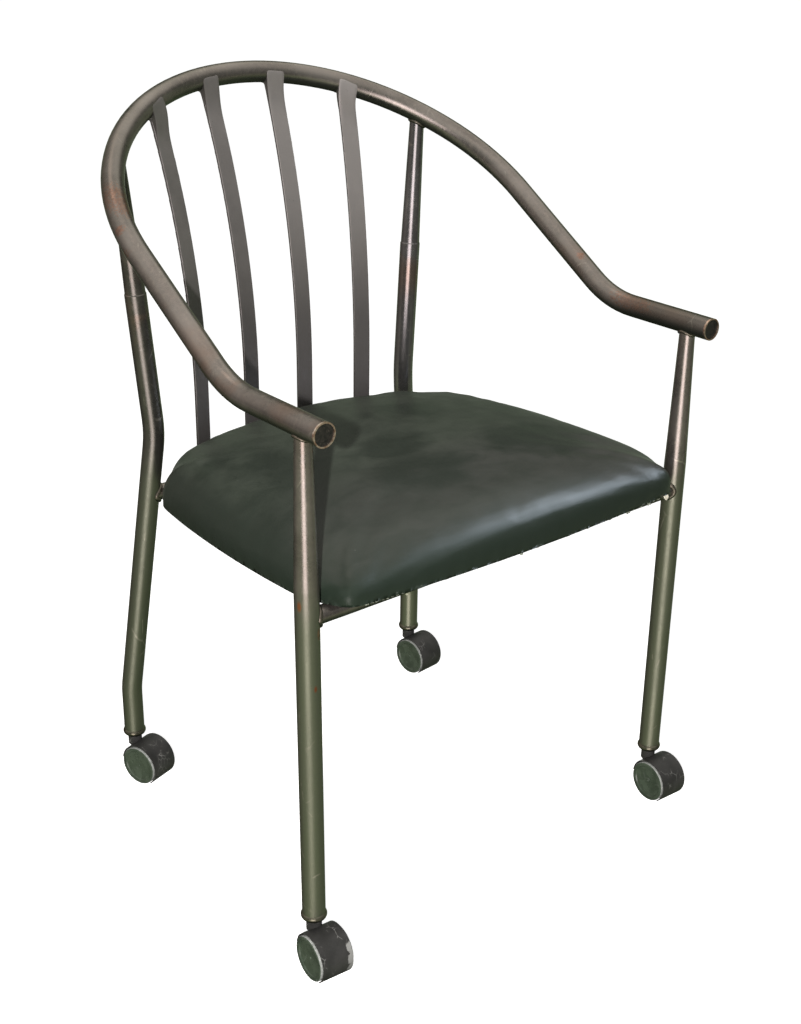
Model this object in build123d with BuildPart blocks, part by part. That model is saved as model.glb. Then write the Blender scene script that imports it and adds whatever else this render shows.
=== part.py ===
from build123d import *
import os
from math import asin, atan2, cos, degrees, hypot, radians, sin, sqrt, tan

# ---------------------------------------------------------------------------
# Rolling metal armchair: bent steel tube frame, four flat back slats, a
# padded vinyl seat and four hooded twin-wheel casters.
# Millimetres, +Z up, floor at Z = 0, the sitter faces -Y, left is -X.
# ---------------------------------------------------------------------------

# frame tube
TUBE_R = 12.7            # 1 in round tube
WALL = 1.6
SWAGE_R = 8.7            # radius of the drawn-down leg tops
RAIL_R = 9.5             # 3/4 in seat rails
RAIL_WALL = 1.5

# hoop: level arms, one bend up into a tilted U
ARM_X = 270.3
ARM_Z = 620.1
ARM_END_Y = -262.6
BEND_Y = -109.3          # where the arm line meets the slope line
BEND_R = 120.0
SLOPE = 32.07            # tilt of the U above level, degrees
SIDE_LEN = 191.0         # straight side of the U, from the bend corner
CORNER_R = 240.0
CORNER_ANG = 30.0

# legs
FRONT_FOOT = (266.6, -233.5)
FRONT_TOP = (270.1, -228.7)
LEG_FOOT_Z = 63.1
FRONT_SWAGE_Z = 452.0
REAR_FOOT = (230.2, 202.9)
REAR_KICK_Z = 126.2
REAR_BEND = (191.0, 178.7, 469.7)
REAR_TOP = (215.4, 187.5, 806.0)
REAR_KICK_R = 120.0
REAR_BEND_R = 174.0
REAR_SWAGE_Z = 640.0

# back slats
SLAT_W = 22.0
SLAT_T = 3.6
SLAT_EDGE_R = 1.0
BACK_PLAN_R = 490.0      # plan radius that the slats stand on
BACK_PLAN_Y = -293.8     # its centre
SLAT_X = (40.8, 122.3)
SLAT_LEAN_R = (930.0, 1040.0)
SLAT_LEAN_Z = (496.0, 498.0)
SLAT_FOOT_Z = 383.5

# seat
SEAT_DROP = 0.0631       # fall of the seat plane per mm towards the back
RAIL_Z0 = 403.4          # rail axis plane at Y = 0
RAIL_TO_SEAT = 10.3      # rail axis to the underside of the pad
SIDE_RAIL_X = (205.0, 150.0)   # side rail at the front rail and at the rear rail
COVER_T = 1.2
HEM_W = 22.0
BOARD_T = 12.0
PAD_H = 70.0             # crown of the pad
PAD_CROWN_R = 1300.0
PAD_CROWN_Y = -15.0
PAD_EDGE_R = 18.0
CLOTH_T = 0.6
TAB_T = 3.0

# casters
WHEEL_R = 25.5
WHEEL_FACE = 21.0        # half width over both wheels
WHEEL_IN = 4.6           # inner face of each wheel
TREAD_IN_R = 22.0
TRAIL = 21.6
HOOD_R = 27.6
HOOD_IN_R = 26.3
HOOD_HALF_W = 18.6
WEB_HALF = 4.0
AXLE_R = 3.0
AXLE_HALF = 15.5
STEM_R = 5.5
STEM_TOP_Z = 98.0
BOSS_R = 8.6
BOSS_TOP_Z = 56.9
COLLAR_R = 14.3
COLLAR_BOT_Z = 57.6
COLLAR_TOP_Z = 66.4
SOCKET_TOP_Z = 102.0
RUN_FIT = 0.05           # radial running clearance
CASTERS = {              # foot point and how far each one has swivelled
    "front_left": (-FRONT_FOOT[0], FRONT_FOOT[1], -4.8),
    "front_right": (FRONT_FOOT[0], FRONT_FOOT[1], -3.0),
    "rear_left": (-REAR_FOOT[0], REAR_FOOT[1], 17.6),
    "rear_right": (REAR_FOOT[0], REAR_FOOT[1], 5.6),
}

os.makedirs("parts", exist_ok=True)


def save(piece, name):
    """Label a finished piece and write it."""
    piece.label = name
    export_step(piece, f"parts/{name}.step")


def corner(a, b, c, r):
    """Start, middle and end of the arc of radius r that rounds corner b."""
    a, b, c = Vector(*a), Vector(*b), Vector(*c)
    u, w = (a - b).normalized(), (c - b).normalized()
    half = radians(u.get_angle(w)) / 2
    t = r / tan(half)
    bis = (u + w).normalized()
    return b + u * t, b + bis * (r / sin(half) - r), b + w * t


# ---------------------------------------------------------------------------
# Hoop path
# ---------------------------------------------------------------------------
ca, sa = cos(radians(SLOPE)), sin(radians(SLOPE))


def slope_point(x, s):
    """Point in the tilted plane of the U, s along the slope from the bend."""
    return Vector(x, BEND_Y + s * ca, ARM_Z + s * sa)


th = radians(CORNER_ANG)
x1 = ARM_X - CORNER_R * (1 - cos(th))
s1 = SIDE_LEN + CORNER_R * sin(th)
TOP_R = x1 / cos(th)
APEX_S = s1 + TOP_R * (1 - sin(th))

arm_end = Vector(ARM_X, ARM_END_Y, ARM_Z)
bend_a, bend_m, bend_b = corner(
    (ARM_X, ARM_END_Y, ARM_Z), (ARM_X, BEND_Y, ARM_Z),
    (ARM_X, BEND_Y + 300 * ca, ARM_Z + 300 * sa), BEND_R)
side_top = slope_point(ARM_X, SIDE_LEN)
corner_mid = slope_point(ARM_X - CORNER_R * (1 - cos(th / 2)), SIDE_LEN + CORNER_R * sin(th / 2))
corner_end = slope_point(x1, s1)
apex = slope_point(0, APEX_S)


def mir(v):
    return Vector(-v.X, v.Y, v.Z)


with BuildLine() as hoop_path:
    Line(arm_end, bend_a)
    ThreePointArc(bend_a, bend_m, bend_b)
    Line(bend_b, side_top)
    ThreePointArc(side_top, corner_mid, corner_end)
    ThreePointArc(corner_end, apex, mir(corner_end))
    ThreePointArc(mir(corner_end), mir(corner_mid), mir(side_top))
    Line(mir(side_top), mir(bend_b))
    ThreePointArc(mir(bend_b), mir(bend_m), mir(bend_a))
    Line(mir(bend_a), mir(arm_end))

arm_plane = Plane(origin=arm_end, x_dir=(1, 0, 0), z_dir=(0, 1, 0))

with BuildPart() as hoop_rail:
    with BuildSketch(arm_plane):
        Circle(TUBE_R)
        Circle(TUBE_R - WALL, mode=Mode.SUBTRACT)
    sweep(path=hoop_path.wire())
save(hoop_rail.part, "hoop_rail")

# solid outline of the hoop, for coping what is welded to it
with BuildPart() as hoop_outline:
    with BuildSketch(arm_plane):
        Circle(TUBE_R)
    sweep(path=hoop_path.wire())

# plugs recessed into the open arm ends
for side, sx in (("left", -1), ("right", 1)):
    with BuildPart() as cap:
        with BuildSketch(Plane(origin=(sx * ARM_X, ARM_END_Y + 1.3, ARM_Z), x_dir=(1, 0, 0), z_dir=(0, 1, 0))):
            Circle(TUBE_R - WALL)
        extrude(amount=9.0)
        with BuildSketch(Plane(origin=(sx * ARM_X, ARM_END_Y + 10.3, ARM_Z), x_dir=(1, 0, 0), z_dir=(0, 1, 0))):
            Circle(TUBE_R - WALL - 2.2)
        extrude(amount=-6.8, mode=Mode.SUBTRACT)
        with BuildSketch(Plane(origin=(sx * ARM_X, ARM_END_Y + 1.3, ARM_Z), x_dir=(1, 0, 0), z_dir=(0, 1, 0))):
            Circle(7.6)
        extrude(amount=0.5, mode=Mode.SUBTRACT)
    save(cap.part, f"arm_end_cap_{side}")

# ---------------------------------------------------------------------------
# Front legs: straight tube, drawn down above the seat, coped to the arm
# ---------------------------------------------------------------------------
leg_outline = {}
for side, sx in (("left", -1), ("right", 1)):
    foot = Vector(sx * FRONT_FOOT[0], FRONT_FOOT[1], LEG_FOOT_Z)
    top = Vector(sx * FRONT_TOP[0], FRONT_TOP[1], ARM_Z)
    axis_dir = (top - foot).normalized()
    length = (top - foot).length
    swage = (FRONT_SWAGE_Z - LEG_FOOT_Z) / (ARM_Z - LEG_FOOT_Z) * length
    section = Plane(origin=foot, x_dir=(1, 0, 0), z_dir=axis_dir)
    cut = Plane(origin=foot, x_dir=section.x_dir, z_dir=-section.y_dir)
    with BuildPart() as front_leg:
        with BuildSketch(cut):
            with BuildLine():
                Polyline((TUBE_R - WALL, 3.3), (TUBE_R, 3.3), (TUBE_R, swage), (SWAGE_R, length),
                         (SWAGE_R - WALL, length), (TUBE_R - WALL, swage), (TUBE_R - WALL, 3.3))
            make_face()
        revolve(axis=Axis(foot, axis_dir))
        add(hoop_outline.part, mode=Mode.SUBTRACT)
    save(front_leg.part, f"front_leg_{side}")
    with BuildPart() as outline:
        with BuildSketch(cut):
            with BuildLine():
                Polyline((0, 0), (TUBE_R, 0), (TUBE_R, swage), (SWAGE_R, length), (0, length), (0, 0))
            make_face()
        revolve(axis=Axis(foot, axis_dir))
    leg_outline["front_" + side] = outline.part


def front_leg_at(sx, z):
    k = (z - LEG_FOOT_Z) / (ARM_Z - LEG_FOOT_Z)
    return Vector(sx * (FRONT_FOOT[0] + k * (FRONT_TOP[0] - FRONT_FOOT[0])),
                  FRONT_FOOT[1] + k * (FRONT_TOP[1] - FRONT_FOOT[1]), z)


def rear_leg_at(sx, z):
    k = (z - REAR_KICK_Z) / (REAR_BEND[2] - REAR_KICK_Z)
    return Vector(sx * (REAR_FOOT[0] + k * (REAR_BEND[0] - REAR_FOOT[0])),
                  REAR_FOOT[1] + k * (REAR_BEND[1] - REAR_FOOT[1]), z)


# ---------------------------------------------------------------------------
# Rear legs: upright foot, splayed shank, bend at the seat, drawn-down top
# ---------------------------------------------------------------------------
for side, sx in (("left", -1), ("right", 1)):
    p0 = Vector(sx * REAR_FOOT[0], REAR_FOOT[1], LEG_FOOT_Z + 3.3)
    p1 = Vector(sx * REAR_FOOT[0], REAR_FOOT[1], REAR_KICK_Z)
    p2 = Vector(sx * REAR_BEND[0], REAR_BEND[1], REAR_BEND[2])
    p3 = Vector(sx * REAR_TOP[0], REAR_TOP[1], REAR_TOP[2])
    k = (REAR_SWAGE_Z - REAR_BEND[2]) / (REAR_TOP[2] - REAR_BEND[2])
    neck = p2 + (p3 - p2) * k
    up = (p3 - p2).normalized()
    ka, km, kb = corner(tuple(p0), tuple(p1), tuple(p2), REAR_KICK_R)
    ba, bm, bb = corner(tuple(p1), tuple(p2), tuple(p3), REAR_BEND_R)
    with BuildLine() as leg_path:
        Line(p0, ka)
        ThreePointArc(ka, km, kb)
        Line(kb, ba)
        ThreePointArc(ba, bm, bb)
        Line(bb, neck)
    taper_len = (p3 - neck).length
    neck_plane = Plane(origin=neck, x_dir=(1, 0, 0), z_dir=up)
    neck_cut = Plane(origin=neck, x_dir=neck_plane.x_dir, z_dir=-neck_plane.y_dir)
    with BuildPart() as rear_leg:
        with BuildSketch(Plane(origin=p0, z_dir=(0, 0, 1))):
            Circle(TUBE_R)
            Circle(TUBE_R - WALL, mode=Mode.SUBTRACT)
        sweep(path=leg_path.wire())
        with BuildSketch(neck_cut):
            with BuildLine():
                Polyline((TUBE_R - WALL, 0), (TUBE_R, 0), (TUBE_R - 0.7, 1.0), (SWAGE_R, taper_len),
                         (SWAGE_R - WALL, taper_len), (TUBE_R - WALL - 0.7, 1.0), (TUBE_R - WALL, 0))
            make_face()
        revolve(axis=Axis(neck, up))
        add(hoop_outline.part, mode=Mode.SUBTRACT)
    save(rear_leg.part, f"rear_leg_{side}")
    with BuildPart() as outline:
        with BuildSketch(Plane(origin=p0, z_dir=(0, 0, 1))):
            Circle(TUBE_R)
        sweep(path=leg_path.wire())
    leg_outline["rear_" + side] = outline.part

# ---------------------------------------------------------------------------
# Back slats: flat bar, upright at the seat, leaning back to the hoop
# ---------------------------------------------------------------------------
for number, (pair, sx) in enumerate(((1, -1), (0, -1), (0, 1), (1, 1)), start=1):
    x0 = sx * SLAT_X[pair]
    turn = asin(x0 / BACK_PLAN_R)
    y0 = BACK_PLAN_Y + BACK_PLAN_R * cos(turn)
    lean_r, lean_z = SLAT_LEAN_R[pair], SLAT_LEAN_Z[pair]
    out = Vector(sin(turn), cos(turn), 0)                 # radially backwards
    side_plane = Plane(origin=(x0, y0, 0), x_dir=out, z_dir=out.cross(Vector(0, 0, 1)))
    # the arc's centre lies behind the slat
    a1 = asin((880.0 - lean_z) / lean_r)
    with BuildLine(side_plane) as slat_path:
        Line((0, SLAT_FOOT_Z), (0, lean_z))
        ThreePointArc((0, lean_z), (lean_r * (1 - cos(a1 / 2)), lean_z + lean_r * sin(a1 / 2)),
                      (lean_r * (1 - cos(a1)), lean_z + lean_r * sin(a1)))
    with BuildPart() as slat:
        with BuildSketch(Plane(origin=(x0, y0, SLAT_FOOT_Z), x_dir=side_plane.z_dir, z_dir=(0, 0, 1))):
            RectangleRounded(SLAT_W, SLAT_T, SLAT_EDGE_R)
        sweep(path=slat_path.wire())
        add(hoop_outline.part, mode=Mode.SUBTRACT)
    # keep what stands below the hoop
    body = slat.part.solids().sort_by(Axis.Z)[0]
    with BuildPart() as trimmed:
        add(body)
    save(trimmed.part, f"back_slat_{number}")

# ---------------------------------------------------------------------------
# Seat rails
# ---------------------------------------------------------------------------
def rail_z(y):
    return RAIL_Z0 - SEAT_DROP * y


front_z = rail_z(-231.0)
rear_z = rail_z(183.0)

with BuildPart() as rail_front:
    a, b = front_leg_at(-1, front_z), front_leg_at(1, front_z)
    with BuildSketch(Plane(origin=a, x_dir=(0, 1, 0), z_dir=(1, 0, 0))):
        Circle(RAIL_R)
        Circle(RAIL_R - RAIL_WALL, mode=Mode.SUBTRACT)
    extrude(amount=(b - a).length)
    add(leg_outline["front_left"], mode=Mode.SUBTRACT)
    add(leg_outline["front_right"], mode=Mode.SUBTRACT)
front_body = rail_front.part.solids().sort_by(SortBy.VOLUME)[-1]
with BuildPart() as seat_rail_front:
    add(front_body)
save(seat_rail_front.part, "seat_rail_front")

with BuildPart() as front_rail_outline:
    with BuildSketch(Plane(origin=a, x_dir=(0, 1, 0), z_dir=(1, 0, 0))):
        Circle(RAIL_R)
    extrude(amount=(b - a).length)

# rear rail: bowed behind the slats, turned back square to meet each leg
bow_r = BACK_PLAN_R + SLAT_T / 2 + 0.25 + RAIL_R
bow_x = 152.0
bow_a = asin(bow_x / bow_r)
bow_y = BACK_PLAN_Y + bow_r * cos(bow_a)
turn_r = 60.0
end_x = bow_x + turn_r * sin(bow_a)
end_y = bow_y - turn_r * (1 - cos(bow_a))
mid_x = bow_x + turn_r * (sin(bow_a) - sin(bow_a / 2))
mid_y = end_y + turn_r * (1 - cos(bow_a / 2))
leg_x = rear_leg_at(1, rear_z).X
with BuildLine() as rear_path:
    Line((-leg_x, end_y, rear_z), (-end_x, end_y, rear_z))
    ThreePointArc((-end_x, end_y, rear_z), (-mid_x, mid_y, rear_z), (-bow_x, bow_y, rear_z))
    ThreePointArc((-bow_x, bow_y, rear_z), (0, BACK_PLAN_Y + bow_r, rear_z), (bow_x, bow_y, rear_z))
    ThreePointArc((bow_x, bow_y, rear_z), (mid_x, mid_y, rear_z), (end_x, end_y, rear_z))
    Line((end_x, end_y, rear_z), (leg_x, end_y, rear_z))
with BuildPart() as rail_rear:
    with BuildSketch(Plane(origin=(-leg_x, end_y, rear_z), x_dir=(0, 1, 0), z_dir=(1, 0, 0))):
        Circle(RAIL_R)
        Circle(RAIL_R - RAIL_WALL, mode=Mode.SUBTRACT)
    sweep(path=rear_path.wire())
    add(leg_outline["rear_left"], mode=Mode.SUBTRACT)
    add(leg_outline["rear_right"], mode=Mode.SUBTRACT)
rear_body = rail_rear.part.solids().sort_by(SortBy.VOLUME)[-1]
with BuildPart() as seat_rail_rear:
    add(rear_body)
save(seat_rail_rear.part, "seat_rail_rear")

with BuildPart() as rear_rail_outline:
    with BuildSketch(Plane(origin=(-leg_x, end_y, rear_z), x_dir=(0, 1, 0), z_dir=(1, 0, 0))):
        Circle(RAIL_R)
    sweep(path=rear_path.wire())


# side rails: set in under the pad, coped to the front and rear rails
def side_rail_ends(sx):
    y_rear = BACK_PLAN_Y + sqrt(bow_r ** 2 - SIDE_RAIL_X[1] ** 2)
    return (Vector(sx * SIDE_RAIL_X[0], front_leg_at(sx, front_z).Y, front_z),
            Vector(sx * SIDE_RAIL_X[1], y_rear, rear_z))


side_outline = {}
for side, sx in (("left", -1), ("right", 1)):
    a, b = side_rail_ends(sx)
    with BuildPart() as rail_side:
        with BuildSketch(Plane(origin=a, x_dir=(1, 0, 0), z_dir=(b - a).normalized())):
            Circle(RAIL_R)
            Circle(RAIL_R - RAIL_WALL, mode=Mode.SUBTRACT)
        extrude(amount=(b - a).length)
        add(front_rail_outline.part, mode=Mode.SUBTRACT)
        add(rear_rail_outline.part, mode=Mode.SUBTRACT)
    body = rail_side.part.solids().sort_by(SortBy.VOLUME)[-1]
    with BuildPart() as seat_rail_side:
        add(body)
    save(seat_rail_side.part, f"seat_rail_{side}")
    with BuildPart() as outline:
        with BuildSketch(Plane(origin=a, x_dir=(1, 0, 0), z_dir=(b - a).normalized())):
            Circle(RAIL_R)
        extrude(amount=(b - a).length)
    side_outline[side] = outline.part

# ---------------------------------------------------------------------------
# Seat pad: plywood, foam, vinyl cover turned under and stapled, dust cloth
# ---------------------------------------------------------------------------
tilt = atan2(SEAT_DROP, 1.0)
seat_n = Vector(0, sin(tilt), cos(tilt))
SEAT = Plane(origin=Vector(0, 0, RAIL_Z0) + seat_n * RAIL_TO_SEAT, x_dir=(1, 0, 0), z_dir=seat_n)


# plan of the pad: bowed front and sides, corners trimmed for the legs
with BuildSketch() as pad_plan:
    with BuildLine():
        ThreePointArc((-236, -258), (0, -270), (236, -258))
        Line((236, -258), (255, -208))
        ThreePointArc((255, -208), (247.5, -50), (223, 113))
        Line((223, 113), (178, 160))
        ThreePointArc((178, 160), (0, 184), (-178, 160))
        Line((-178, 160), (-223, 113))
        ThreePointArc((-223, 113), (-247.5, -50), (-255, -208))
        Line((-255, -208), (-236, -258))
    make_face()
    fillet(pad_plan.vertices(), radius=24.0)
with BuildSketch() as core_plan:
    add(pad_plan.sketch_local)
    offset(amount=-COVER_T, mode=Mode.REPLACE)
with BuildSketch() as hem_plan:
    add(pad_plan.sketch_local)
    offset(amount=-HEM_W, mode=Mode.REPLACE)
with BuildSketch() as cloth_plan:
    add(pad_plan.sketch_local)
    offset(amount=-(HEM_W - 6.0), mode=Mode.REPLACE)


with BuildPart() as pad_outer:
    with BuildSketch(SEAT):
        add(pad_plan.sketch_local)
    extrude(amount=PAD_H + 4)
    with Locations(SEAT.from_local_coords(Vector(0, PAD_CROWN_Y, PAD_H - PAD_CROWN_R))):
        Sphere(PAD_CROWN_R, mode=Mode.INTERSECT)
    fillet(pad_outer.faces().filter_by(GeomType.SPHERE).edges(), radius=PAD_EDGE_R)

with BuildPart() as pad_inner:
    with BuildSketch(SEAT.offset(COVER_T)):
        add(core_plan.sketch_local)
    extrude(amount=PAD_H + 4)
    with Locations(SEAT.from_local_coords(Vector(0, PAD_CROWN_Y, PAD_H - PAD_CROWN_R))):
        Sphere(PAD_CROWN_R - COVER_T, mode=Mode.INTERSECT)
    fillet(pad_inner.faces().filter_by(GeomType.SPHERE).edges(), radius=PAD_EDGE_R - COVER_T)

with BuildPart() as seat_cover:
    add(pad_outer.part)
    add(pad_inner.part, mode=Mode.SUBTRACT)
    with BuildSketch(SEAT):
        add(hem_plan.sketch_local)
    extrude(amount=COVER_T, mode=Mode.SUBTRACT)
save(seat_cover.part, "seat_cover")

TAB_SPOTS = [(sx, y) for sx in (-1, 1) for y in (-140.0, 95.0)]


def tab_centre(sx, y):
    """Rail axis X at y, then the screw point inboard of it."""
    f, r = side_rail_ends(sx)
    k = (y - f.Y) / (r.Y - f.Y)
    return f.X + k * (r.X - f.X), f.X + k * (r.X - f.X) - sx * 34.0


with BuildPart() as seat_foam:
    add(pad_inner.part)
    split(bisect_by=SEAT.offset(COVER_T + BOARD_T), keep=Keep.TOP)
save(seat_foam.part, "seat_foam")

with BuildPart() as seat_board:
    add(pad_inner.part)
    split(bisect_by=SEAT.offset(COVER_T + BOARD_T), keep=Keep.BOTTOM)
    with BuildSketch(SEAT.offset(COVER_T)):
        with Locations(*[(tab_centre(sx, y)[1], y) for sx, y in TAB_SPOTS]):
            Circle(2.1)
    extrude(amount=10.0, mode=Mode.SUBTRACT)
save(seat_board.part, "seat_board")

with BuildPart() as seat_dust_cloth:
    with BuildSketch(SEAT.offset(-CLOTH_T)):
        add(cloth_plan.sketch_local)
        with Locations(*[(tab_centre(sx, y)[1], y) for sx, y in TAB_SPOTS]):
            Circle(3.4, mode=Mode.SUBTRACT)
    extrude(amount=CLOTH_T)
save(seat_dust_cloth.part, "seat_dust_cloth")

# staple crowns round the turned-under hem
STAPLES = ([(x, -259.0 + 12.0 * (x / 236.0) ** 2, 0) for x in (-200, -150, -100, -50, 0, 50, 100, 150, 200)]
           + [(sx * (244.0 - 26.5 * ((y + 190.0) / 275.0) ** 2), y, 90 + sx * 6)
              for sx in (-1, 1) for y in (-190, -135, -80, -25, 30, 85)]
           + [(x, 173.0 - 23.0 * (x / 178.0) ** 2, 0) for x in (-150, -90, -30, 30, 90, 150)])
with BuildPart() as cover_staples:
    with BuildSketch(SEAT.offset(-0.7)):
        for x, y, a in STAPLES:
            with Locations((x, y)):
                SlotOverall(11.0, 1.3, rotation=a)
    extrude(amount=0.7)
save(cover_staples.part, "cover_staples")

# tabs welded inside the side rails, one screw up through each
with BuildPart() as seat_tabs:
    with BuildSketch(SEAT.offset(-CLOTH_T - 0.4 - TAB_T)):
        for sx, y in TAB_SPOTS:
            rail_x, hole_x = tab_centre(sx, y)
            with Locations(((rail_x + hole_x) / 2 - sx * 5.0, y)):
                RectangleRounded(abs(rail_x - hole_x) + 10.0, 26.0, 6.0)
            with Locations((hole_x, y)):
                Circle(2.6, mode=Mode.SUBTRACT)
    extrude(amount=TAB_T)
    add(side_outline["left"], mode=Mode.SUBTRACT)
    add(side_outline["right"], mode=Mode.SUBTRACT)
tabs = [s for s in seat_tabs.part.solids() if s.volume > 300.0]
with BuildPart() as seat_mounting_tabs:
    for s in tabs:
        add(s)
save(seat_mounting_tabs.part, "seat_mounting_tabs")

with BuildPart() as seat_screws:
    for sx, y in TAB_SPOTS:
        hole_x = tab_centre(sx, y)[1]
        head = SEAT.offset(-CLOTH_T - 0.4 - TAB_T)
        spot = Plane(origin=head.from_local_coords(Vector(hole_x, y, 0)), x_dir=(1, 0, 0), z_dir=-seat_n)
        with BuildSketch(spot):
            Circle(4.6)
        extrude(amount=2.6)
        with BuildSketch(spot):
            Circle(2.1)
        extrude(amount=-(TAB_T + 0.4 + CLOTH_T + COVER_T + 10.0))
        with BuildSketch(spot.offset(2.6)):
            Rectangle(5.4, 1.0)
            Rectangle(1.0, 5.4)
        extrude(amount=-1.4, mode=Mode.SUBTRACT)
save(seat_screws.part, "seat_screws")

# ---------------------------------------------------------------------------
# Casters
# ---------------------------------------------------------------------------
for place, (fx, fy, swivel) in CASTERS.items():
    sw = radians(swivel)
    along = Vector(cos(sw), sin(sw), 0)                   # axle direction
    ahead = Vector(sin(sw), -cos(sw), 0)                  # towards the trailing wheels
    foot = Vector(fx, fy, 0)
    hub = foot + ahead * TRAIL + Vector(0, 0, WHEEL_R)
    upright = Plane(origin=foot, x_dir=along, z_dir=(0, 0, 1))
    # section plane across the axle: x towards the wheels' front, y up
    across = Plane(origin=hub, x_dir=ahead, z_dir=ahead.cross(Vector(0, 0, 1)))
    axle_dir = across.z_dir
    # half-section plane through the axle: x along the axle, y up
    axial = Plane(origin=hub, x_dir=axle_dir, z_dir=axle_dir.cross(Vector(0, 0, 1)))

    # socket: ribbed sleeve pressed in the leg, with a rolled collar below it
    if place.startswith("front"):
        sx = -1 if place.endswith("left") else 1
        lean = (Vector(sx * FRONT_TOP[0], FRONT_TOP[1], ARM_Z) - Vector(fx, fy, LEG_FOOT_Z)).normalized()
    else:
        lean = Vector(0, 0, 1)
    leg_plane = Plane(origin=Vector(fx, fy, LEG_FOOT_Z), x_dir=(1, 0, 0), z_dir=lean)
    leg_cut = Plane(origin=leg_plane.origin, x_dir=leg_plane.x_dir, z_dir=-leg_plane.y_dir)
    low, high, top = COLLAR_BOT_Z - LEG_FOOT_Z, COLLAR_TOP_Z - LEG_FOOT_Z, SOCKET_TOP_Z - LEG_FOOT_Z
    with BuildPart() as caster_socket:
        with BuildSketch(leg_cut):
            with BuildLine():
                Line((0, low), (9.4, low))
                ThreePointArc((9.4, low), (COLLAR_R - 1.2, low + 2.0), (COLLAR_R, low + 5.0))
                ThreePointArc((COLLAR_R, low + 5.0), (COLLAR_R - 0.35, low + 7.0), (TUBE_R, high - 0.05))
                Polyline((TUBE_R, high - 0.05), (TUBE_R - WALL, high - 0.05), (TUBE_R - WALL, top), (0, top), (0, low))
            make_face()
        revolve(axis=Axis(leg_plane.origin, lean))
        with BuildSketch(upright.offset(COLLAR_BOT_Z - 3)):
            Circle(STEM_R + RUN_FIT)
        extrude(amount=SOCKET_TOP_Z - COLLAR_BOT_Z + 8, mode=Mode.SUBTRACT)
    save(caster_socket.part, f"caster_socket_{place}")

    # stem: steel pin with a ring groove near its rounded top
    with BuildPart() as caster_stem:
        with BuildSketch(Plane(origin=foot, x_dir=along, z_dir=ahead)):
            with BuildLine():
                Polyline((0, 44.0), (STEM_R, 44.0), (STEM_R, STEM_TOP_Z - 9.0), (STEM_R - 1.0, STEM_TOP_Z - 9.0),
                         (STEM_R - 1.0, STEM_TOP_Z - 5.5), (STEM_R, STEM_TOP_Z - 5.5), (STEM_R, STEM_TOP_Z - 2.5),
                         (STEM_R - 2.5, STEM_TOP_Z), (0, STEM_TOP_Z), (0, 44.0))
            make_face()
        revolve(axis=Axis(foot, (0, 0, 1)))
    save(caster_stem.part, f"caster_stem_{place}")

    with BuildPart() as grip_ring:
        with BuildSketch(upright.offset(STEM_TOP_Z - 8.9)):
            Circle(STEM_R)
            Circle(STEM_R - 1.0, mode=Mode.SUBTRACT)
            with Locations((STEM_R, 0)):
                Rectangle(6.0, 1.8, mode=Mode.SUBTRACT)
        extrude(amount=3.2)
    save(grip_ring.part, f"stem_grip_ring_{place}")

    # hood: curved shell over both wheels, a web between them, a boss for the stem
    with BuildPart() as caster_hood:
        with BuildSketch(across):
            with BuildLine():
                a0, a1 = radians(-50.0), radians(172.0)
                am = (a0 + a1) / 2

                def on(r, a):
                    return (r * cos(a), r * sin(a))

                ThreePointArc(on(HOOD_R, a0), on(HOOD_R, am), on(HOOD_R, a1))
                Line(on(HOOD_R, a1), on(HOOD_IN_R, a1))
                ThreePointArc(on(HOOD_IN_R, a1), on(HOOD_IN_R, am), on(HOOD_IN_R, a0))
                Line(on(HOOD_IN_R, a0), on(HOOD_R, a0))
            make_face()
        extrude(amount=HOOD_HALF_W, both=True)
        with BuildSketch(across):
            with BuildLine():
                ThreePointArc(on(HOOD_IN_R + 0.4, a0), on(HOOD_IN_R + 0.4, am), on(HOOD_IN_R + 0.4, a1))
                Polyline(on(HOOD_IN_R + 0.4, a1), (-9.0, -12.0), (9.0, -19.0), on(HOOD_IN_R + 0.4, a0))
            make_face()
        extrude(amount=WEB_HALF, both=True)
        # boss column, from inside the web up to the collar
        with BuildSketch(upright.offset(44.0)):
            Circle(BOSS_R)
        extrude(amount=BOSS_TOP_Z - 44.0)
        with BuildSketch(upright.offset(33.0)):
            RectangleRounded(2 * WEB_HALF, 11.0, 2.0)
        extrude(amount=12.0)
        with BuildSketch(across):
            Circle(AXLE_R)
        extrude(amount=WEB_HALF + 2, both=True, mode=Mode.SUBTRACT)
        with BuildSketch(upright.offset(44.0)):
            Circle(STEM_R)
        extrude(amount=BOSS_TOP_Z - 44.0 + 2, mode=Mode.SUBTRACT)
        # room for the wheels under the boss column
        for s in (-1, 1):
            with BuildSketch(across.offset(s * WEB_HALF)):
                Circle(HOOD_IN_R)
            extrude(amount=s * (WHEEL_FACE + 6 - WEB_HALF), mode=Mode.SUBTRACT)
    save(caster_hood.part, f"caster_hood_{place}")

    with BuildPart() as caster_axle:
        with BuildSketch(across):
            Circle(AXLE_R)
        extrude(amount=AXLE_HALF, both=True)
        chamfer(caster_axle.edges().filter_by(GeomType.CIRCLE), length=0.5)
    save(caster_axle.part, f"caster_axle_{place}")

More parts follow.
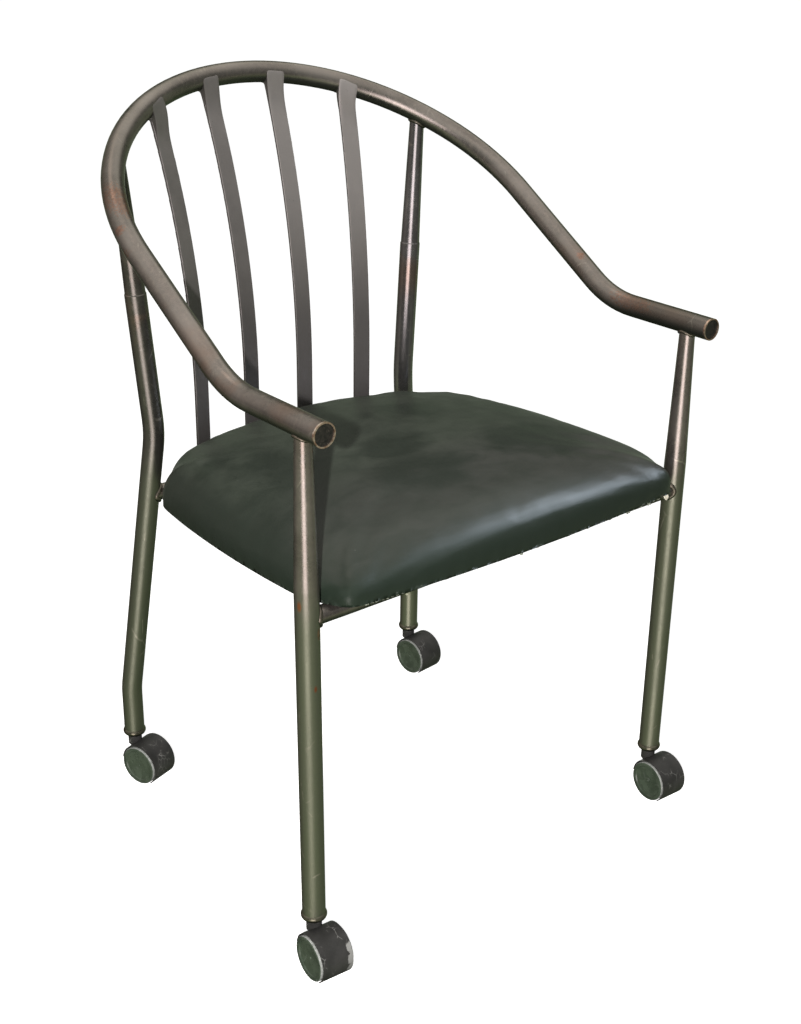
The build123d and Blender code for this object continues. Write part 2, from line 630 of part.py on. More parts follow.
    # wheels: dished core on the axle, soft tread round it
    for which, s in (("a", -1), ("b", 1)):
        with BuildPart() as wheel_core:
            with BuildSketch(axial):
                with BuildLine():
                    Polyline((s * WHEEL_IN, AXLE_R + RUN_FIT), (s * WHEEL_IN, 7.0), (s * (WHEEL_IN + 1.2), 7.0),
                             (s * (WHEEL_IN + 1.2), TREAD_IN_R), (s * (WHEEL_FACE - 0.8), TREAD_IN_R),
                             (s * (WHEEL_FACE - 0.8), TREAD_IN_R - 1.4), (s * (WHEEL_FACE - 2.0), TREAD_IN_R - 2.6))
                    ThreePointArc((s * (WHEEL_FACE - 2.0), TREAD_IN_R - 2.6), (s * (WHEEL_FACE - 2.9), 9.0),
                                  (s * (WHEEL_FACE - 3.2), 1.6))
                    Polyline((s * (WHEEL_FACE - 3.2), 1.6), (s * (WHEEL_FACE - 4.2), 0.9), (s * (WHEEL_FACE - 4.2), 0),
                             (s * (AXLE_HALF + 0.6), 0), (s * (AXLE_HALF + 0.6), AXLE_R + RUN_FIT),
                             (s * WHEEL_IN, AXLE_R + RUN_FIT))
                make_face()
            revolve(axis=Axis(hub, axle_dir))
        save(wheel_core.part, f"wheel_core_{place}_{which}")
        with BuildPart() as wheel_tread:
            with BuildSketch(axial):
                with BuildLine():
                    Polyline((s * (WHEEL_IN + 0.4), TREAD_IN_R), (s * (WHEEL_IN + 0.4), WHEEL_R - 1.2),
                             (s * (WHEEL_IN + 1.6), WHEEL_R), (s * (WHEEL_FACE - 2.2), WHEEL_R))
                    ThreePointArc((s * (WHEEL_FACE - 2.2), WHEEL_R), (s * (WHEEL_FACE - 0.65), WHEEL_R - 0.65),
                                  (s * WHEEL_FACE, WHEEL_R - 2.2))
                    Polyline((s * WHEEL_FACE, WHEEL_R - 2.2), (s * WHEEL_FACE, TREAD_IN_R), (s * (WHEEL_IN + 0.4), TREAD_IN_R))
                make_face()
            revolve(axis=Axis(hub, axle_dir))
        save(wheel_tread.part, f"wheel_tread_{place}_{which}")
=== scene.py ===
import math

import bmesh
import bpy
import numpy as np
from mathutils import Matrix, Vector, noise


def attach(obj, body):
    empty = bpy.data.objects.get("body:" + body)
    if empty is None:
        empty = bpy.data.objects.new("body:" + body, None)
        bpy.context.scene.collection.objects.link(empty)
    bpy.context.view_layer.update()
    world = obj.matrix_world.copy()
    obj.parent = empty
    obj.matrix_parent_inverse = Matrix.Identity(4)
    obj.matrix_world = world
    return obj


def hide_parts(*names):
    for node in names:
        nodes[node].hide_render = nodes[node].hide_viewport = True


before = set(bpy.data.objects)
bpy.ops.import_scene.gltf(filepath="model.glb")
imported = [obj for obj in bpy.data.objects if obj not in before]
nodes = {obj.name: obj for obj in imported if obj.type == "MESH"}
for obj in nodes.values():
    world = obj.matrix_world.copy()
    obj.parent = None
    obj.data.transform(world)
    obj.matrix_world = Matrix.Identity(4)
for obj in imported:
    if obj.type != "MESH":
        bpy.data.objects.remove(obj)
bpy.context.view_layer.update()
MM = 0.001
PLACES = ("front_left", "front_right", "rear_left", "rear_right")
rng = np.random.default_rng(11)


# ---------------------------------------------------------------------------
# Frame geometry, repeated in millimetres
# ---------------------------------------------------------------------------
TUBE_R, SWAGE_R, RAIL_R = 12.7, 8.7, 9.5
ARM_X, ARM_Z, ARM_END_Y, BEND_Y, BEND_R = 270.3, 620.1, -262.6, -109.3, 120.0
SLOPE, SIDE_LEN, CORNER_R, CORNER_ANG = 32.07, 191.0, 240.0, 30.0
FRONT_FOOT, FRONT_TOP = np.array([266.6, -233.5, 63.1]), np.array([270.1, -228.7, 620.1])
FRONT_SWAGE_Z = 452.0
REAR_FOOT, REAR_BEND, REAR_TOP = (230.2, 202.9, 126.2), np.array([191.0, 178.7, 469.7]), np.array([215.4, 187.5, 806.0])
REAR_SWAGE_Z = 640.0
SLAT_W, SLAT_T = 22.0, 3.6
BACK_PLAN_R, BACK_PLAN_Y = 490.0, -293.8
SLAT_X, SLAT_LEAN_R, SLAT_LEAN_Z = (40.8, 122.3), (930.0, 1040.0), (496.0, 498.0)
SEAT_DROP, RAIL_Z0, RAIL_TO_SEAT = 0.0631, 403.4, 10.3
CASTERS = {"front_left": (-266.6, -233.5, -4.8), "front_right": (266.6, -233.5, -3.0),
           "rear_left": (-230.2, 202.9, 17.6), "rear_right": (230.2, 202.9, 5.6)}


def unit(v):
    return v / np.linalg.norm(v)


def hoop_line():
    """Centreline of the hoop as a dense polyline, right arm end to left arm end."""
    ca, sa = math.cos(math.radians(SLOPE)), math.sin(math.radians(SLOPE))
    th = math.radians(CORNER_ANG)
    x1 = ARM_X - CORNER_R * (1 - math.cos(th))
    s1 = SIDE_LEN + CORNER_R * math.sin(th)
    top_r = x1 / math.cos(th)
    pts = [(ARM_X, ARM_END_Y + k, ARM_Z) for k in np.linspace(0, BEND_Y - ARM_END_Y, 40)]
    t = BEND_R * math.tan(math.radians(SLOPE) / 2)
    pts = [p for p in pts if p[1] < BEND_Y - t]
    cy, cz = BEND_Y - t, ARM_Z + BEND_R
    for a in np.linspace(0, math.radians(SLOPE), 24):
        pts.append((ARM_X, cy + BEND_R * math.sin(a), cz - BEND_R * math.cos(a)))
    flat = [(ARM_X, s) for s in np.linspace(t, SIDE_LEN, 30)[1:]]
    for a in np.linspace(0, th, 24)[1:]:
        flat.append((ARM_X - CORNER_R * (1 - math.cos(a)), SIDE_LEN + CORNER_R * math.sin(a)))
    cs = s1 - top_r * math.sin(th)
    for a in np.linspace(th, math.pi / 2, 60)[1:]:
        flat.append((top_r * math.cos(a), cs + top_r * math.sin(a)))
    pts += [(x, BEND_Y + s * ca, ARM_Z + s * sa) for x, s in flat]
    right = np.array(pts)
    left = right[::-1][1:] * np.array([-1, 1, 1])
    return np.vstack([right, left])


HOOP = hoop_line()


def nearest_on(line, p):
    """Closest point on a polyline to each row of p, and the direction there."""
    a, b = line[:-1], line[1:]
    ab = b - a
    p = np.atleast_2d(p)
    t = np.clip(((p[:, None, :] - a) * ab).sum(-1) / (ab * ab).sum(-1), 0, 1)
    q = a + t[..., None] * ab
    d = np.linalg.norm(p[:, None, :] - q, axis=-1)
    k = d.argmin(1)
    i = np.arange(len(p))
    return q[i, k], ab[k] / np.linalg.norm(ab[k], axis=1)[:, None], d[i, k]


# ---------------------------------------------------------------------------
# Node material helpers
# ---------------------------------------------------------------------------
class Mat:
    """A small wrapper round a node material with one Principled shader."""

    def __init__(self, name):
        self.m = bpy.data.materials.new(name)
        self.m.use_nodes = True
        self.nt = self.m.node_tree
        self.b = self.nt.nodes["Principled BSDF"]
        self.co = self.nt.nodes.new("ShaderNodeTexCoord").outputs["Object"]

    def node(self, kind, **props):
        n = self.nt.nodes.new(kind)
        for k, v in props.items():
            setattr(n, k, v)
        return n

    def put(self, socket, value):
        if isinstance(value, bpy.types.NodeSocket):
            self.nt.links.new(value, socket)
        elif value is not None:
            if hasattr(socket.default_value, "__len__") and len(socket.default_value) == 4 and len(value) == 3:
                value = (*value, 1.0)
            socket.default_value = value

    def set(self, **sockets):
        for k, v in sockets.items():
            self.put(self.b.inputs[k.replace("_", " ")], v)

    def scaled(self, vec, scale):
        n = self.node("ShaderNodeMapping")
        self.put(n.inputs["Vector"], vec)
        n.inputs["Scale"].default_value = scale if hasattr(scale, "__len__") else (scale,) * 3
        return n.outputs["Vector"]

    def noise(self, scale, detail=4.0, rough=0.55, vec=None, distortion=0.0):
        n = self.node("ShaderNodeTexNoise")
        self.put(n.inputs["Vector"], vec if vec is not None else self.co)
        n.inputs["Scale"].default_value = scale
        n.inputs["Detail"].default_value = detail
        n.inputs["Roughness"].default_value = rough
        n.inputs["Distortion"].default_value = distortion
        return n.outputs["Fac"]

    def voronoi(self, scale, feature="F1", vec=None, randomness=1.0):
        n = self.node("ShaderNodeTexVoronoi", feature=feature)
        self.put(n.inputs["Vector"], vec if vec is not None else self.co)
        n.inputs["Scale"].default_value = scale
        n.inputs["Randomness"].default_value = randomness
        return n.outputs["Distance"]

    def ramp(self, fac, stops, mode="LINEAR"):
        n = self.node("ShaderNodeValToRGB")
        n.color_ramp.interpolation = mode
        els = n.color_ramp.elements
        while len(els) < len(stops):
            els.new(0.5)
        for e, (pos, col) in zip(els, stops):
            e.position = pos
            e.color = (*col, 1.0) if hasattr(col, "__len__") else (col, col, col, 1.0)
        self.put(n.inputs["Fac"], fac)
        return n.outputs["Color"]

    def math(self, op, a, b=None, clamp=False):
        n = self.node("ShaderNodeMath", operation=op, use_clamp=clamp)
        self.put(n.inputs[0], a)
        if b is not None:
            self.put(n.inputs[1], b)
        return n.outputs[0]

    def mix(self, fac, a, b, blend="MIX"):
        n = self.node("ShaderNodeMix", data_type="RGBA", blend_type=blend)
        self.put(n.inputs["Factor"], fac)
        self.put(n.inputs["A"], a)
        self.put(n.inputs["B"], b)
        return n.outputs["Result"]

    def range(self, v, a, b, c=0.0, d=1.0, smooth=True):
        n = self.node("ShaderNodeMapRange", interpolation_type="SMOOTHSTEP" if smooth else "LINEAR")
        self.put(n.inputs["Value"], v)
        for k, x in zip(("From Min", "From Max", "To Min", "To Max"), (a, b, c, d)):
            n.inputs[k].default_value = x
        return n.outputs["Result"]

    def axis(self, which, vec=None):
        n = self.node("ShaderNodeSeparateXYZ")
        self.put(n.inputs[0], vec if vec is not None else self.co)
        return n.outputs[which]

    def spot(self, centre, radius, edge=0.35, squash=(1, 1, 1)):
        """1 inside a soft ball round a point on the part (metres), 0 outside."""
        n = self.node("ShaderNodeVectorMath", operation="SUBTRACT")
        self.put(n.inputs[0], self.co)
        n.inputs[1].default_value = centre
        s = self.node("ShaderNodeVectorMath", operation="MULTIPLY")
        self.put(s.inputs[0], n.outputs[0])
        s.inputs[1].default_value = squash
        l = self.node("ShaderNodeVectorMath", operation="LENGTH")
        self.put(l.inputs[0], s.outputs[0])
        return self.range(l.outputs["Value"], radius * (1 - edge), radius * (1 + edge), 1.0, 0.0)

    def bump(self, height, strength=0.2, distance=0.001, normal=None):
        n = self.node("ShaderNodeBump")
        n.inputs["Strength"].default_value = strength
        n.inputs["Distance"].default_value = distance
        self.put(n.inputs["Height"], height)
        if normal is not None:
            self.put(n.inputs["Normal"], normal)
        return n.outputs["Normal"]


def wear(mt, spots, grain=420.0):
    """Ragged wear mask: the union of soft balls, broken up by noise."""
    total = None
    for centre, radius, strength, squash in spots:
        s = mt.math("MULTIPLY", mt.spot([c * MM for c in centre], radius * MM, 0.8, squash), strength)
        total = s if total is None else mt.math("MAXIMUM", total, s)
    rag = mt.noise(grain, 6.0, 0.65)
    return mt.range(mt.math("ADD", total, mt.math("SUBTRACT", rag, 0.5)), 0.42, 0.62)


# ---------------------------------------------------------------------------
# Materials
# ---------------------------------------------------------------------------
def frame_metal(name, dark, light, lift=1.0, spots=(), rim=False, rough=(0.24, 0.38), low=None, underside_shade=0.85, shade_spots=(), marks=()):
    mt = Mat(name)
    blotch = mt.noise(14.0, 6.0, 0.6)
    fine = mt.noise(260.0, 5.0, 0.6)
    col = mt.mix(mt.range(blotch, 0.32, 0.68), (*dark, 1), (*light, 1))
    col = mt.mix(mt.math("MULTIPLY", mt.range(fine, 0.45, 0.75), 0.35), col, (light[0] * 1.35, light[1] * 1.3, light[2] * 1.2, 1))
    z = mt.axis("Z")
    if low is not None:
        # painted reflection: the shanks below the seat are tinted a greyer olive than the upper frame, standing in for
        # the green floor mirrored in them
        shank = mt.range(z, 0.47, 0.40)
        col = mt.mix(shank, col, (*low, 1))
    # brown where the finish has thinned under the hands
    rubbed = mt.math("MULTIPLY", mt.range(mt.noise(11.0, 4.0, 0.6, distortion=0.5), 0.46, 0.64),
                     mt.math("MULTIPLY", mt.range(z, 0.72, 0.64), mt.range(z, 0.56, 0.60)))
    col = mt.mix(mt.math("MULTIPLY", rubbed, 0.60), col, (0.250, 0.172, 0.135, 1))
    # thin pale scratches that follow the tube, and pits
    scr = mt.voronoi(1.0, "DISTANCE_TO_EDGE", mt.scaled(mt.co, (46.0, 30.0, 22.0)))
    gate = mt.range(mt.noise(34.0, 3.0), 0.56, 0.70)
    scratch = mt.math("MULTIPLY", mt.range(scr, 0.030, 0.008), gate)
    pits = mt.math("MULTIPLY", mt.range(mt.voronoi(150.0), 0.13, 0.05), mt.range(mt.noise(22.0, 3.0), 0.59, 0.70))
    col = mt.mix(mt.math("MULTIPLY", scratch, 0.55), col, (0.50, 0.46, 0.40, 1))
    col = mt.mix(mt.math("MULTIPLY", pits, 0.4), col, (0.030, 0.024, 0.020, 1))
    if spots:
        worn = wear(mt, spots)
        copper = mt.ramp(mt.noise(300.0, 4.0), [(0.3, (0.17, 0.060, 0.032)), (0.6, (0.40, 0.17, 0.095)), (0.8, (0.60, 0.40, 0.29))])
        col = mt.mix(mt.math("MULTIPLY", worn, 0.52), col, copper)
    # painted shade: soft balls on the tube are darkened towards the dark tone where the tube lies in shade
    for centre, radius, strength in shade_spots:
        col = mt.mix(mt.math("MULTIPLY", mt.spot([c * MM for c in centre], radius * MM, 0.8), strength), col,
                     (dark[0] * 0.42, dark[1] * 0.45, dark[2] * 0.42, 1))
    for centre, radius, squash, tone in marks:
        col = mt.mix(mt.spot([c * MM for c in centre], radius * MM, 0.6, squash), col, (*tone, 1))
    if rim:
        edge = mt.range(mt.math("ADD", mt.axis("Y"), mt.math("MULTIPLY", mt.math("SUBTRACT", mt.noise(420.0, 5.0), 0.5), 0.0030)),
                        -0.2612, -0.2600, 1.0, 0.0)
        bare = mt.ramp(mt.noise(240.0, 4.0), [(0.30, (0.26, 0.13, 0.085)), (0.52, (0.60, 0.44, 0.34)), (0.75, (0.86, 0.79, 0.70))])
        col = mt.mix(edge, col, bare)
    # painted shade: faces turned downwards are painted darker and greener, standing in for the shade under the tubes
    # and the dark green floor they mirror
    facing = mt.axis("Z", mt.node("ShaderNodeNewGeometry").outputs["Normal"])
    under = mt.range(mt.math("ADD", facing, mt.math("MULTIPLY", mt.math("SUBTRACT", blotch, 0.5), 0.3)), 0.05, -0.55)
    col = mt.mix(mt.math("MULTIPLY", under, underside_shade), col, (dark[0] * 0.42, dark[1] * 0.52, dark[2] * 0.46, 1))
    r = mt.range(mt.math("ADD", mt.math("MULTIPLY", blotch, 0.5), mt.math("MULTIPLY", fine, 0.5)), 0.35, 0.65, rough[0], rough[1])
    if low is not None:
        r = mt.math("ADD", r, mt.math("MULTIPLY", shank, 0.15))
    h = mt.math("SUBTRACT", mt.math("MULTIPLY", mt.noise(900.0, 3.0), 0.3), mt.math("ADD", scratch, pits))
    mt.set(Base_Color=col, Roughness=r, Metallic=0.95, Coat_Weight=0.10, Coat_Roughness=0.20,
           Normal=mt.bump(h, 0.25, 0.0004))
    mt.b.inputs["Specular Tint"].default_value = (0.62, 0.66, 0.58, 1)
    return mt.m


FRAME_DARK, FRAME_LIGHT = (0.190, 0.170, 0.156), (0.285, 0.256, 0.238)
hoop_spots = [
    ((-259, 108, 764), 22, 0.62, (1, 0.5, 0.8)), ((-276, 76, 742), 8, 0.72, (1, 1, 1)), ((-274, 58, 722), 10, 0.95, (1, 0.7, 1)),
    ((262, -150, 630), 22, 0.60, (1, 0.5, 1)), ((264, -172, 622), 9, 0.66, (1, 1, 1)), ((266, -60, 662), 8, 0.6, (1, 1, 1)),
    ((-262, -120, 612), 9, 0.55, (1, 1, 1)), ((-258, -90, 640), 8, 0.66, (1, 1, 1)), ((-262, -244, 612), 9, 0.6, (1, 1, 1)),
]
# the hoop's shade spots are painted shade at the right arm end and on the upper left of the hoop
M_HOOP = frame_metal("hoop_steel", FRAME_DARK, FRAME_LIGHT, spots=hoop_spots, rim=True,
                     shade_spots=[((270, -205, 620), 80, 0.60), ((-243, 140, 776), 80, 0.35)])
front_spots = [((-262, -245, 405), 7, 1.0, (1.6, 1.6, 0.7)), ((-258, -240, 322), 5, 0.9, (1, 1, 0.8)), ((-262, -240, 597), 8, 0.6, (1, 1, 1))]
# the low colours of the leg steels are painted reflection of the green floor on the shanks
M_LEG = frame_metal("leg_steel", FRAME_DARK, FRAME_LIGHT, low=(0.204, 0.212, 0.164), spots=front_spots,
                    marks=[((-281, -234, 437), 2.2, (1, 1, 0.45), (0.42, 0.15, 0.07)), ((-269, -244, 345), 1.6, (1, 1, 0.5), (0.36, 0.12, 0.06))])
# painted shade: the rear-right leg has a darker, cooler copy of the leg steel, standing in for how this leg is lit
M_LEG_RR = frame_metal("leg_steel_cool", rough=(0.17, 0.28), dark=(0.165, 0.158, 0.160), light=(0.245, 0.236, 0.240), low=(0.204, 0.212, 0.164),
                       marks=[((219.4, 196.1, 119), 1.6, (1, 1, 1), (0.80, 0.78, 0.70))])
# painted shade: the rear-left leg has a darker copy of the leg steel, standing in for the shade it lies in
M_LEG_RL_SHADED = frame_metal("leg_steel_shaded", (0.100, 0.094, 0.086), (0.150, 0.142, 0.130), low=(0.160, 0.168, 0.130),
                       spots=[((-217, 176, 745), 8, 0.9, (1, 1, 0.7))])
M_RAIL = frame_metal("rail_steel", FRAME_DARK, FRAME_LIGHT)
M_COLLAR = frame_metal("collar_steel", (0.105, 0.100, 0.075), (0.180, 0.172, 0.130))
M_WELD = frame_metal("weld_steel", (0.13, 0.115, 0.095), (0.23, 0.205, 0.17), rough=(0.34, 0.55))


def slat_metal():
    mt = Mat("slat_steel")
    stretched = mt.scaled(mt.co, (60.0, 60.0, 5.0))
    brush = mt.noise(6.0, 5.0, 0.6, stretched)
    blotch = mt.noise(18.0, 5.0, 0.6)
    col = mt.mix(mt.range(blotch, 0.3, 0.7), (0.268, 0.248, 0.248, 1), (0.345, 0.319, 0.319, 1))
    col = mt.mix(mt.math("MULTIPLY", mt.range(brush, 0.5, 0.8), 0.3), col, (0.385, 0.355, 0.355, 1))
    # painted light: the slats on the right are painted paler, where more light falls on them
    col = mt.mix(mt.range(mt.axis("X"), -0.11, 0.06, 0.0, 0.75), col, (0.470, 0.436, 0.432, 1))
    # painted shade: the slats darken towards their lower ends
    col = mt.mix(mt.range(mt.axis("Z"), 0.72, 0.54, 0.0, 0.62), col, (0.120, 0.112, 0.112, 1))
    # painted shade: the narrow side faces of the slats are painted darker
    side = mt.math("ABSOLUTE", mt.axis("X", mt.node("ShaderNodeNewGeometry").outputs["Normal"]), 0.0)
    col = mt.mix(mt.range(side, 0.55, 0.90, 0.0, 0.62), col, (0.060, 0.055, 0.055, 1))
    speck = mt.math("MULTIPLY", mt.range(mt.voronoi(210.0), 0.13, 0.05), mt.range(mt.noise(30.0, 3.0), 0.55, 0.66))
    col = mt.mix(mt.math("MULTIPLY", speck, 0.7), col, (0.05, 0.045, 0.04, 1))
    mt.set(Base_Color=col, Metallic=0.91, Roughness=mt.range(brush, 0.3, 0.7, 0.42, 0.54), Coat_Weight=0.12, Coat_Roughness=0.35,
           Normal=mt.bump(mt.math("SUBTRACT", mt.math("MULTIPLY", brush, 0.4), speck), 0.18, 0.0004))
    mt.b.inputs["Specular Tint"].default_value = (0.7, 0.7, 0.66, 1)
    return mt.m


M_SLAT = slat_metal()


def cap_plastic():
    mt = Mat("end_cap_scuffed")
    scuff = mt.noise(330.0, 6.0, 0.7, distortion=0.6)
    col = mt.ramp(scuff, [(0.40, (0.005, 0.005, 0.0045)), (0.62, (0.013, 0.012, 0.010)), (0.74, (0.07, 0.058, 0.048)), (0.84, (0.30, 0.27, 0.24))])
    mt.set(Base_Color=col, Metallic=0.25, Roughness=mt.range(scuff, 0.3, 0.7, 0.42, 0.62), Normal=mt.bump(scuff, 0.5, 0.0006))
    return mt.m


M_CAP = cap_plastic()


def vinyl():
    mt = Mat("black_vinyl")
    grain = mt.math("ADD", mt.voronoi(950.0, "F1"), mt.math("MULTIPLY", mt.noise(600.0, 4.0), 0.5))
    up = mt.axis("Z", mt.node("ShaderNodeNewGeometry").outputs["Normal"])
    # a film of dust lies on the upward faces, wiped thin in soft patches where the clean vinyl shows dark; the clean
    # vinyl's green cast is painted reflection of green surroundings
    settle = mt.range(up, 0.70, 0.985)
    total = None
    for centre, radius, strength, squash in (((-50, -138, 476), 46, 1.0, (0.7, 1, 1)), ((138, -136, 472), 52, 1.0, (0.7, 1, 1)), ((-24, -66, 480), 32, 0.9, (0.6, 1, 1)),
                                             ((66, 30, 478), 42, 0.7, (0.7, 1, 1)), ((-150, -14, 468), 40, 0.75, (1, 0.6, 1)), ((196, -40, 464), 40, 0.6, (1, 0.6, 1)),
                                             ((-150, 70, 470), 34, 0.55, (0.7, 1, 1))):
        w = mt.math("MULTIPLY", mt.spot([c * MM for c in centre], radius * MM, 0.6, squash), strength)
        total = w if total is None else mt.math("MAXIMUM", total, w)
    warp = mt.noise(13.0, 4.0, 0.55, distortion=1.2)
    wiped = mt.range(mt.math("ADD", total, mt.math("MULTIPLY", mt.math("SUBTRACT", warp, 0.5), 2.0)), 0.10, 0.95, 1.0, 0.0)
    cloud = mt.range(mt.noise(20.0, 5.0, 0.6, distortion=0.5), 0.30, 0.72)
    smear = mt.range(mt.noise(4.0, 3.0, 0.5, mt.scaled(mt.co, (6.0, 9.0, 6.0)), 0.9), 0.34, 0.66)
    film = mt.math("MULTIPLY", mt.math("ADD", mt.math("MULTIPLY", wiped, 0.78), 0.22),
                   mt.math("ADD", mt.math("MULTIPLY", smear, 0.30), mt.math("ADD", mt.math("MULTIPLY", cloud, 0.25), 0.45)))
    film = mt.math("ADD", film, mt.math("ADD", mt.range(mt.axis("Y"), 0.03, 0.15, 0.0, 0.70), mt.range(mt.axis("X"), -0.15, -0.23, 0.0, -0.25)))
    # painted shade: the film is thinned towards the front left, darkening the seat beside the front-left leg
    film = mt.math("MULTIPLY", film, mt.range(mt.math("ADD", mt.axis("Y"), mt.math("MULTIPLY", mt.axis("X"), 0.5)), -0.24, -0.08, 0.45, 1.0))
    film = mt.math("MULTIPLY", film, mt.math("ADD", mt.math("MULTIPLY", settle, 0.92), 0.08))
    # painted reflection: the dust colour turns greener towards the back, standing in for green surroundings mirrored in
    # the seat
    dust_and_green_cast = mt.mix(mt.range(mt.axis("Y"), -0.17, -0.05), (0.0365, 0.0368, 0.0336, 1), (0.0345, 0.0412, 0.0322, 1))
    col = mt.mix(film, (0.0064, 0.0098, 0.0070, 1), dust_and_green_cast)
    # specks and a few pale rubbed marks
    dust = mt.math("MULTIPLY", mt.range(mt.voronoi(75.0), 0.055, 0.02), mt.range(mt.noise(12.0, 2.0), 0.54, 0.66))
    col = mt.mix(mt.math("MULTIPLY", dust, 0.4), col, (0.15, 0.155, 0.14, 1))
    rub = wear(mt, [((-40, -60, 478), 8, 0.62, (1, 0.6, 1)), ((120, 30, 468), 8, 0.62, (0.7, 1, 1))], 240.0)
    col = mt.mix(mt.math("MULTIPLY", rub, 0.22), col, (0.13, 0.13, 0.115, 1))
    r = mt.math("ADD", mt.range(mt.noise(34.0, 5.0), 0.3, 0.7, 0.345, 0.405), mt.math("MULTIPLY", film, 0.06))
    mt.set(Base_Color=col, Roughness=r, Normal=mt.bump(grain, 0.12, 0.0004))
    mt.b.inputs["Specular IOR Level"].default_value = 0.34
    # painted reflection: the green specular tint stands in for green surroundings
    mt.b.inputs["Specular Tint"].default_value = (0.93, 1.0, 0.95, 1)
    return mt.m


M_VINYL = vinyl()


def plain(name, stops, scale, rough, metallic=0.0, bump=(0.2, 0.0003), coat=0.0, stretch=None):
    mt = Mat(name)
    vec = mt.scaled(mt.co, stretch) if stretch else None
    f = mt.noise(scale, 6.0, 0.6, vec)
    mt.set(Base_Color=mt.ramp(f, stops), Roughness=mt.range(f, 0.3, 0.7, rough[0], rough[1]), Metallic=metallic,
           Normal=mt.bump(f, bump[0], bump[1]), Coat_Weight=coat)
    return mt.m


M_STEEL = plain("bright_steel", [(0.3, (0.34, 0.33, 0.31)), (0.7, (0.55, 0.54, 0.52))], 500.0, (0.25, 0.42), 1.0)
M_STAPLE = plain("staple_wire", [(0.3, (0.42, 0.41, 0.38)), (0.7, (0.66, 0.65, 0.62))], 700.0, (0.25, 0.40), 1.0)
M_CLOTH = plain("dust_cloth", [(0.35, (0.010, 0.010, 0.010)), (0.65, (0.030, 0.030, 0.029))], 1800.0, (0.85, 0.95), 0.0, (0.6, 0.0005))
M_BOARD = plain("plywood", [(0.3, (0.30, 0.19, 0.10)), (0.7, (0.48, 0.34, 0.20))], 6.0, (0.55, 0.75), 0.0, (0.3, 0.0006), 0.0, (3.0, 40.0, 40.0))
M_FOAM = plain("foam", [(0.3, (0.62, 0.54, 0.34)), (0.7, (0.78, 0.71, 0.50))], 900.0, (0.9, 1.0), 0.0, (0.8, 0.001))


def hood_plastic(name, scuff_at=None):
    mt = Mat(name)
    f = mt.noise(700.0, 4.0, 0.6)
    broad = mt.noise(38.0, 4.0)
    col = mt.mix(mt.range(broad, 0.3, 0.7), (0.0115, 0.0115, 0.0112, 1), (0.0215, 0.0212, 0.0208, 1))
    scr = mt.math("MULTIPLY", mt.range(mt.voronoi(1.0, "DISTANCE_TO_EDGE", mt.scaled(mt.co, (150.0, 70.0, 110.0))), 0.035, 0.012),
                  mt.range(mt.noise(60.0, 3.0), 0.52, 0.64))
    col = mt.mix(mt.math("MULTIPLY", scr, 0.5), col, (0.20, 0.20, 0.19, 1))
    if scuff_at:
        worn = wear(mt, scuff_at, 260.0)
        col = mt.mix(worn, col, (0.135, 0.137, 0.132, 1))
    mt.set(Base_Color=col, Roughness=mt.range(f, 0.3, 0.7, 0.46, 0.60), Normal=mt.bump(mt.math("SUBTRACT", mt.math("MULTIPLY", f, 0.5), scr), 0.25, 0.0003))
    return mt.m


M_HOOD = hood_plastic("caster_hood_plastic")
M_HOOD_FL = hood_plastic("caster_hood_plastic_scuffed", [((-250.5, -281, 40), 7.5, 1.0, (1.05, 1, 1)), ((-250.5, -284, 28), 8.5, 1.0, (1.05, 1, 1)), ((-251.5, -281, 16), 7.5, 1.0, (1.05, 1, 1))])


def wheel_hub(place):
    fx, fy, swing = CASTERS[place]
    k = math.radians(swing)
    ahead = np.array([math.sin(k), -math.cos(k), 0.0])
    return np.array([fx, fy, 0.0]) + ahead * 21.6 + np.array([0, 0, 25.5]), np.array([-math.cos(k), -math.sin(k), 0.0])


def radial(mt, hub, axle):
    """Distance from a wheel's axle, in metres."""
    d = mt.node("ShaderNodeVectorMath", operation="SUBTRACT")
    mt.put(d.inputs[0], mt.co)
    d.inputs[1].default_value = tuple(hub * MM)
    c = mt.node("ShaderNodeVectorMath", operation="CROSS_PRODUCT")
    mt.put(c.inputs[0], d.outputs[0])
    c.inputs[1].default_value = tuple(axle)
    l = mt.node("ShaderNodeVectorMath", operation="LENGTH")
    mt.put(l.inputs[0], c.outputs[0])
    return l.outputs["Value"]


def wheel_material(name, place, core):
    mt = Mat(name)
    r = radial(mt, *wheel_hub(place))
    grit = mt.noise(330.0, 5.0, 0.65)
    broad = mt.noise(70.0, 4.0)
    dark = mt.mix(mt.range(broad, 0.3, 0.7), (0.019, 0.027, 0.0185, 1), (0.035, 0.047, 0.033, 1))
    scr = mt.math("MULTIPLY", mt.range(mt.voronoi(1.0, "DISTANCE_TO_EDGE", mt.scaled(mt.co, (160.0, 90.0, 70.0))), 0.030, 0.010),
                  mt.range(mt.noise(48.0, 3.0), 0.52, 0.64))
    dark = mt.mix(mt.math("MULTIPLY", scr, 0.15), dark, (0.20, 0.22, 0.20, 1))
    if core:
        col, rough = dark, mt.range(broad, 0.3, 0.7, 0.20, 0.34)
    else:
        grey = mt.ramp(grit, [(0.30, (0.085, 0.090, 0.085)), (0.55, (0.165, 0.172, 0.165)), (0.75, (0.24, 0.247, 0.237))])
        line = mt.range(mt.math("ADD", r, mt.math("MULTIPLY", mt.math("SUBTRACT", broad, 0.5), 0.0006)), 0.0245, 0.0250)
        col = mt.mix(line, dark, grey)
        rough = mt.range(grit, 0.3, 0.7, 0.45, 0.65)
    mt.set(Base_Color=col, Roughness=rough, Normal=mt.bump(mt.math("SUBTRACT", mt.math("MULTIPLY", grit, 0.4), scr), 0.14, 0.0003))
    return mt.m


M_WHEEL = {pl: wheel_material(f"wheel_face_{pl}", pl, True) for pl in PLACES}
M_TREAD = {pl: wheel_material(f"wheel_tread_{pl}", pl, False) for pl in PLACES}


def dress(node, material):
    o = nodes[node]
    o.data.materials.clear()
    o.data.materials.append(material)


